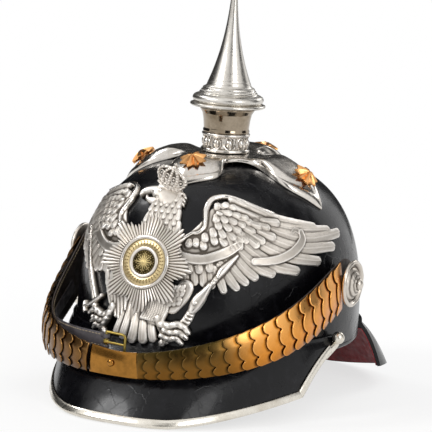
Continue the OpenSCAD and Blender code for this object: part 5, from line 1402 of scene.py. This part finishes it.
# Points, normals and lifts down the skull, over the visor's flange and down the visor
over = [crown(0, y) for y in np.arange(85, 107, 4)] + [side(180, h) for h in np.arange(72, 15, -8)]
over = [(p, skull_n(p), SEAT) for p in over]
over += [(wall(180, 10, 0), arr([0, 1, 0]), VISOR_T + 2 * SEAT),
         (wall(180, 4.5, 0), unit(arr([0, 1, 0.2])), ROOT + SEAT)]
over += [(visor_f(False, 0, k * 0.194), visor_n(False, 0, k * 0.194), SEAT) for k in range(1, 6)]
mid = curve([p + n * k for p, n, k in over], 6)
nrm = unit(curve([n for p, n, k in over], 6))
xs = np.linspace(-1, 1, 19)
off_mid = np.abs(xs)
thick = 1 + 0.35 * (1 - xs ** 2) + 0.22 * np.exp(-((off_mid - 0.86) / 0.07) ** 2) \
    - 0.5 * np.clip((off_mid - 0.93) / 0.07, 0, 1)
m2 = len(mid)
half = 4.5 * np.sqrt(np.clip(np.minimum((np.arange(m2) + 0.6) / 5, (m2 - np.arange(m2) - 0.4) / 6), 0.05, 1))
at = mid[:, None] + (xs[None] * half[:, None])[..., None] * arr([1, 0, 0])
put("rear_spine_bar", shell((at + nrm[:, None] * thick[None, :, None])[:, ::-1], at[:, ::-1]), SILVER,
    nodes=["rear_spine"], smooth=50)
v, f = lathe([[0.01, 0], [2.8, 0], [2.75, 0.5], [2.4, 1.0], [1.6, 1.4], [0.8, 1.55], [0.45, 1.6],
              [0.01, 1.6]], 48)
v[:, 2] = np.where((np.abs(v[:, 0]) < 0.4) & (v[:, 2] > 0.6), 0.75, v[:, 2])
SPINE_SCREW_Z = 24
spine_c = side(180, SPINE_SCREW_Z)
spine_n = skull_n(spine_c)
shank = lathe([[0.01, -6.05], [1.3, -6.05], [1.5, -5.7], [1.5, 0.3], [0.01, 0.3]], 20)
put("spine_screw_head", placed(join((v, f), shank), spine_c + spine_n * (SEAT + 1.6), spine_n), SILVER,
    nodes=["spine_screw"], smooth=35)


# Lining: leather band with two rows of stitches, pleated silk above it and its drawstring

def ring_at(inset, h, n):
    """Oval inside the skull's own, by its inset and height."""
    t = around(n)
    inset, h = np.broadcast_to(arr(inset), t.shape), np.broadcast_to(arr(h), t.shape)
    return np.stack([(HALF_W - inset) * np.sin(t), BACK - (HALF_L - inset) * np.cos(t), h], -1)


def band_in(h):
    """How far the sweatband stands inside the skull at a height."""
    return 2.85 + np.interp(h, [0.4, 26, 60], [0.3, 10, 13.5])


BAND_T, BAND_TOP = 1.4, 60
rows = np.concatenate([[0.45, 0.7, 1.1, 1.6], np.linspace(3, 57.5, 22), [58.6, 59.3, 59.7, 59.95]])
ease_in = 0.55 * np.clip(1 - np.minimum(rows - 0.4, BAND_TOP - rows) / 1.2, 0, 1) ** 2
wavy = lambda h: 0.18 * np.sin(around(260) * 9 + h * 0.1) * np.sin(h / BAND_TOP * math.pi)
outer = np.stack([ring_at(band_in(h) + e + wavy(h) * 0.5, h, 260) for h, e in zip(rows, ease_in)])
inner = np.stack([ring_at(band_in(h) + BAND_T - e + wavy(h), h, 260) for h, e in zip(rows, ease_in)])
put("sweatband_leather", shell(outer, inner, True), BAND, nodes=["sweatband"], smooth=50)
bits = []
sink = arr([-0.2, 0.25, 0.35, 0.25, -0.2])[:, None]
for h in (4.0, 56.5):
    ring = ring_at(band_in(h) + 1.5, h, 1400)
    for k in range(0, 1400, 9):
        seg = ring[[k, k + 1, k + 3, k + 5, k + 6] if k < 1393 else [1393, 1394, 1396, 1398, 1399]]
        seg = seg + (arr([0, BACK, 0]) - seg) * arr([1, 1, 0]) / 100 * sink
        bits.append(swept(seg, 0.26, 6))
put("sweatband_stitches", join(*bits), THREAD, smooth=60)

SILK = leather("silk_pale", (0.62, 0.55, 0.44), (0.40, 0.33, 0.25), 0.42, 2400)
STRING = leather("string_pale", (0.50, 0.44, 0.34), (0.28, 0.22, 0.15), 0.8, 3000)
SILK_IN, SILK_REACH, SILK_H, PLEATS, SILK_ROUND = 16.35, 55.65, 30.0, 46, 566
n = PLEATS * 12
t = around(n)
rows = []
for q in np.radians(np.linspace(0, 90, 26)):
    inset = SILK_IN + 0.5 + (SILK_REACH - 0.5) * (1 - math.cos(q))
    round_len = 2 * math.pi * math.sqrt(((HALF_W - inset) ** 2 + (HALF_L - inset) ** 2) / 2)
    depth = 0.30 * math.sqrt(max(0.0, (SILK_ROUND / round_len) ** 2 - 1)) * round_len / PLEATS * 0.62
    fold = np.sin(PLEATS * t) + 0.25 * np.sin(3 * t + 1) * math.sin(q)
    ring = ring_at(inset - 0.25 * depth * fold * math.sin(q), 60.25 + SILK_H * math.sin(q), n)
    ring[:, 2] += depth * fold * (1 if q < 1.5 else 0.7) * np.clip(q * 3, 0, 1) - depth
    rows.append(ring)
rows[-1][:, 2] += 0.3
verts = np.concatenate(rows)
silk = put("silk_gathered", (verts, grid_faces(len(rows), n, True).tolist()), SILK, nodes=["silk_liner"],
           smooth=0)

OPENING_IN, STRING_GAP, STRING_R = 73.35, 1.2, 1.0
t = np.radians(np.linspace(6, 350, 110))
inset = OPENING_IN + STRING_GAP
path = np.stack([(HALF_W - inset) * np.sin(t), BACK - (HALF_L - inset) * np.cos(t), np.full(110, 88.4)], -1)
path[:, 2] += 0.35 * np.sin(23 * t)
tail = [path[-1] + [1.2, 1.5, -1.6], path[-1] + [2.2, 3.0, -6], path[-1] + [3.4, 2.6, -12],
        path[-1] + [3.8, 4.2, -18], path[-1] + [5.4, 5.4, -24]]
path = curve(np.concatenate([path, tail]), 3)
string = put("drawstring_cord", swept(path, STRING_R, 10, normal=(0.05, 0.03, 1)), STRING,
             nodes=["drawstring"], smooth=60)
v, f = ball(2.1, 16, 10, (1.0, 0.9, 1.15))
v = v * (1 + 0.12 * np.sin(v[:, 2:] * 3 + np.arctan2(v[:, 1:2], v[:, :1]) * 2))
knot = put("drawstring_knot", (v + path[-1], f), STRING, smooth=60)

# Inner nuts, washer, posts and the spike's screw keep their solids
for name in ("stud_nuts", "neck_nut", "plate_posts", "plate_nuts", "rosette_nuts", "spike_screw",
             "neck_washer"):
    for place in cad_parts[name].material_slots:
        place.material = SILVER if name == "neck_washer" else HARDWARE


# Stage: a white floor and room, with dark cards that only mirror rays meet, as used for polished metal

def seen(tree):
    """1 for camera, mirror and see-through rays."""
    ray = tree.nodes.new("ShaderNodeLightPath")
    out = ray.outputs["Is Camera Ray"]
    for other in ("Is Glossy Ray", "Is Transmission Ray"):
        m = tree.nodes.new("ShaderNodeMath")
        m.operation = "MAXIMUM"
        tree.links.new(out, m.inputs[0])
        tree.links.new(ray.outputs[other], m.inputs[1])
        out = m.outputs[0]
    return out


def flat_sheet(name, corners, material):
    """Four-cornered sheet that belongs to the stage."""
    me = bpy.data.meshes.new(name)
    me.from_pydata([tuple(c) for c in corners], [], [(0, 1, 2, 3)])
    o = bpy.data.objects.new(name, me)
    scene.collection.objects.link(o)
    o.data.materials.append(material)
    return o


white = Mat("floor_white", (0.95, 0.95, 0.95), rough=0.9, spec=0.1)
far = white.node("ShaderNodeVectorMath", {0: white.co}, operation="LENGTH").outputs["Value"]
fade = white.node("ShaderNodeMapRange", {"Value": far, "From Min": 0.25, "From Max": 0.8, "To Min": 0.70,
                                         "To Max": 1.0}).outputs[0]
share = white.math("MULTIPLY", seen(white.t), fade)
glow = white.node("ShaderNodeEmission").outputs[0]
both = white.node("ShaderNodeMixShader", {0: share, 1: white.p.outputs[0], 2: glow}).outputs[0]
# See-through from below, so that the underside can be looked at
below = white.node("ShaderNodeNewGeometry").outputs["Backfacing"]
clear = white.node("ShaderNodeBsdfTransparent").outputs[0]
shown = white.node("ShaderNodeMixShader", {0: below, 1: both, 2: clear}).outputs[0]
white.t.links.new(shown, white.t.nodes["Material Output"].inputs["Surface"])
FLOOR, FLOOR_Z = 6.0, -0.0003
CORNERS = (-1, -1), (1, -1), (1, 1), (-1, 1)
flat_sheet("floor", [(FLOOR * x, FLOOR * y, FLOOR_Z) for x, y in CORNERS], white.m)

world = bpy.data.worlds.new("studio")
scene.world = world
world.use_nodes = True
tree = world.node_tree
room = tree.nodes["Background"]
room.inputs["Color"].default_value = (1, 1, 1, 1)
level = tree.nodes.new("ShaderNodeMapRange")
level.inputs["To Min"].default_value = 0.6
level.inputs["To Max"].default_value = 1.0
tree.links.new(seen(tree), level.inputs["Value"])
tree.links.new(level.outputs[0], room.inputs["Strength"])


CARD_FAR, AIM = 1.7, (0, 0, 0.12)


def card(name, azimuth, elevation, width, height, shade):
    """Flat card facing the helmet; the camera, shadows and plain light pass it by."""
    m = bpy.data.materials.new(name)
    m.use_nodes = True
    t = m.node_tree
    t.nodes.remove(t.nodes["Principled BSDF"])
    e = t.nodes.new("ShaderNodeEmission")
    e.inputs["Color"].default_value = (shade, shade, shade, 1)
    t.links.new(e.outputs[0], t.nodes["Material Output"].inputs["Surface"])
    a, l = math.radians(azimuth), math.radians(elevation)
    out = Vector((math.sin(a) * math.cos(l), -math.cos(a) * math.cos(l), math.sin(l)))
    across = Vector((math.cos(a), math.sin(a), 0))
    rise = across.cross(out)
    mid = Vector(AIM) + out * CARD_FAR
    o = flat_sheet(name, [mid + across * x * width / 2 + rise * y * height / 2 for x, y in CORNERS], m)
    o.visible_camera = o.visible_diffuse = o.visible_shadow = o.visible_transmission = False


card("card_left", -105, 16, 2.6, 1.8, 0.02)
card("card_left_back", -158, 14, 1.5, 1.5, 0.03)
card("card_camera", 34, 14, 0.8, 1.6, 0.03)
card("card_left_front", -40, 4, 1.1, 0.5, 0.22)
card("card_back_over", 175, 50, 2.2, 1.2, 0.10)
card("card_right_back", 128, 20, 0.9, 1.4, 0.06)


def lamp(name, place, target, size, power):
    """Round area light, aimed at a target."""
    d = bpy.data.lights.new(name, "AREA")
    d.shape, d.size, d.energy = "DISK", size, power
    o = bpy.data.objects.new(name, d)
    scene.collection.objects.link(o)
    o.location = place
    o.rotation_mode = "QUATERNION"
    o.rotation_quaternion = (Vector(target) - Vector(place)).to_track_quat("-Z", "Y")


lamp("key", (-0.9, -1.3, 1.3), AIM, 0.6, 13)
lamp("fill", (1.5, -0.9, 0.9), AIM, 0.9, 8)
lamp("rim", (0.3, 1.5, 1.2), AIM, 0.8, 9)
lamp("spark", (-1.35, 0.1, 1.45), (0, -0.1, 0.06), 0.3, 4)
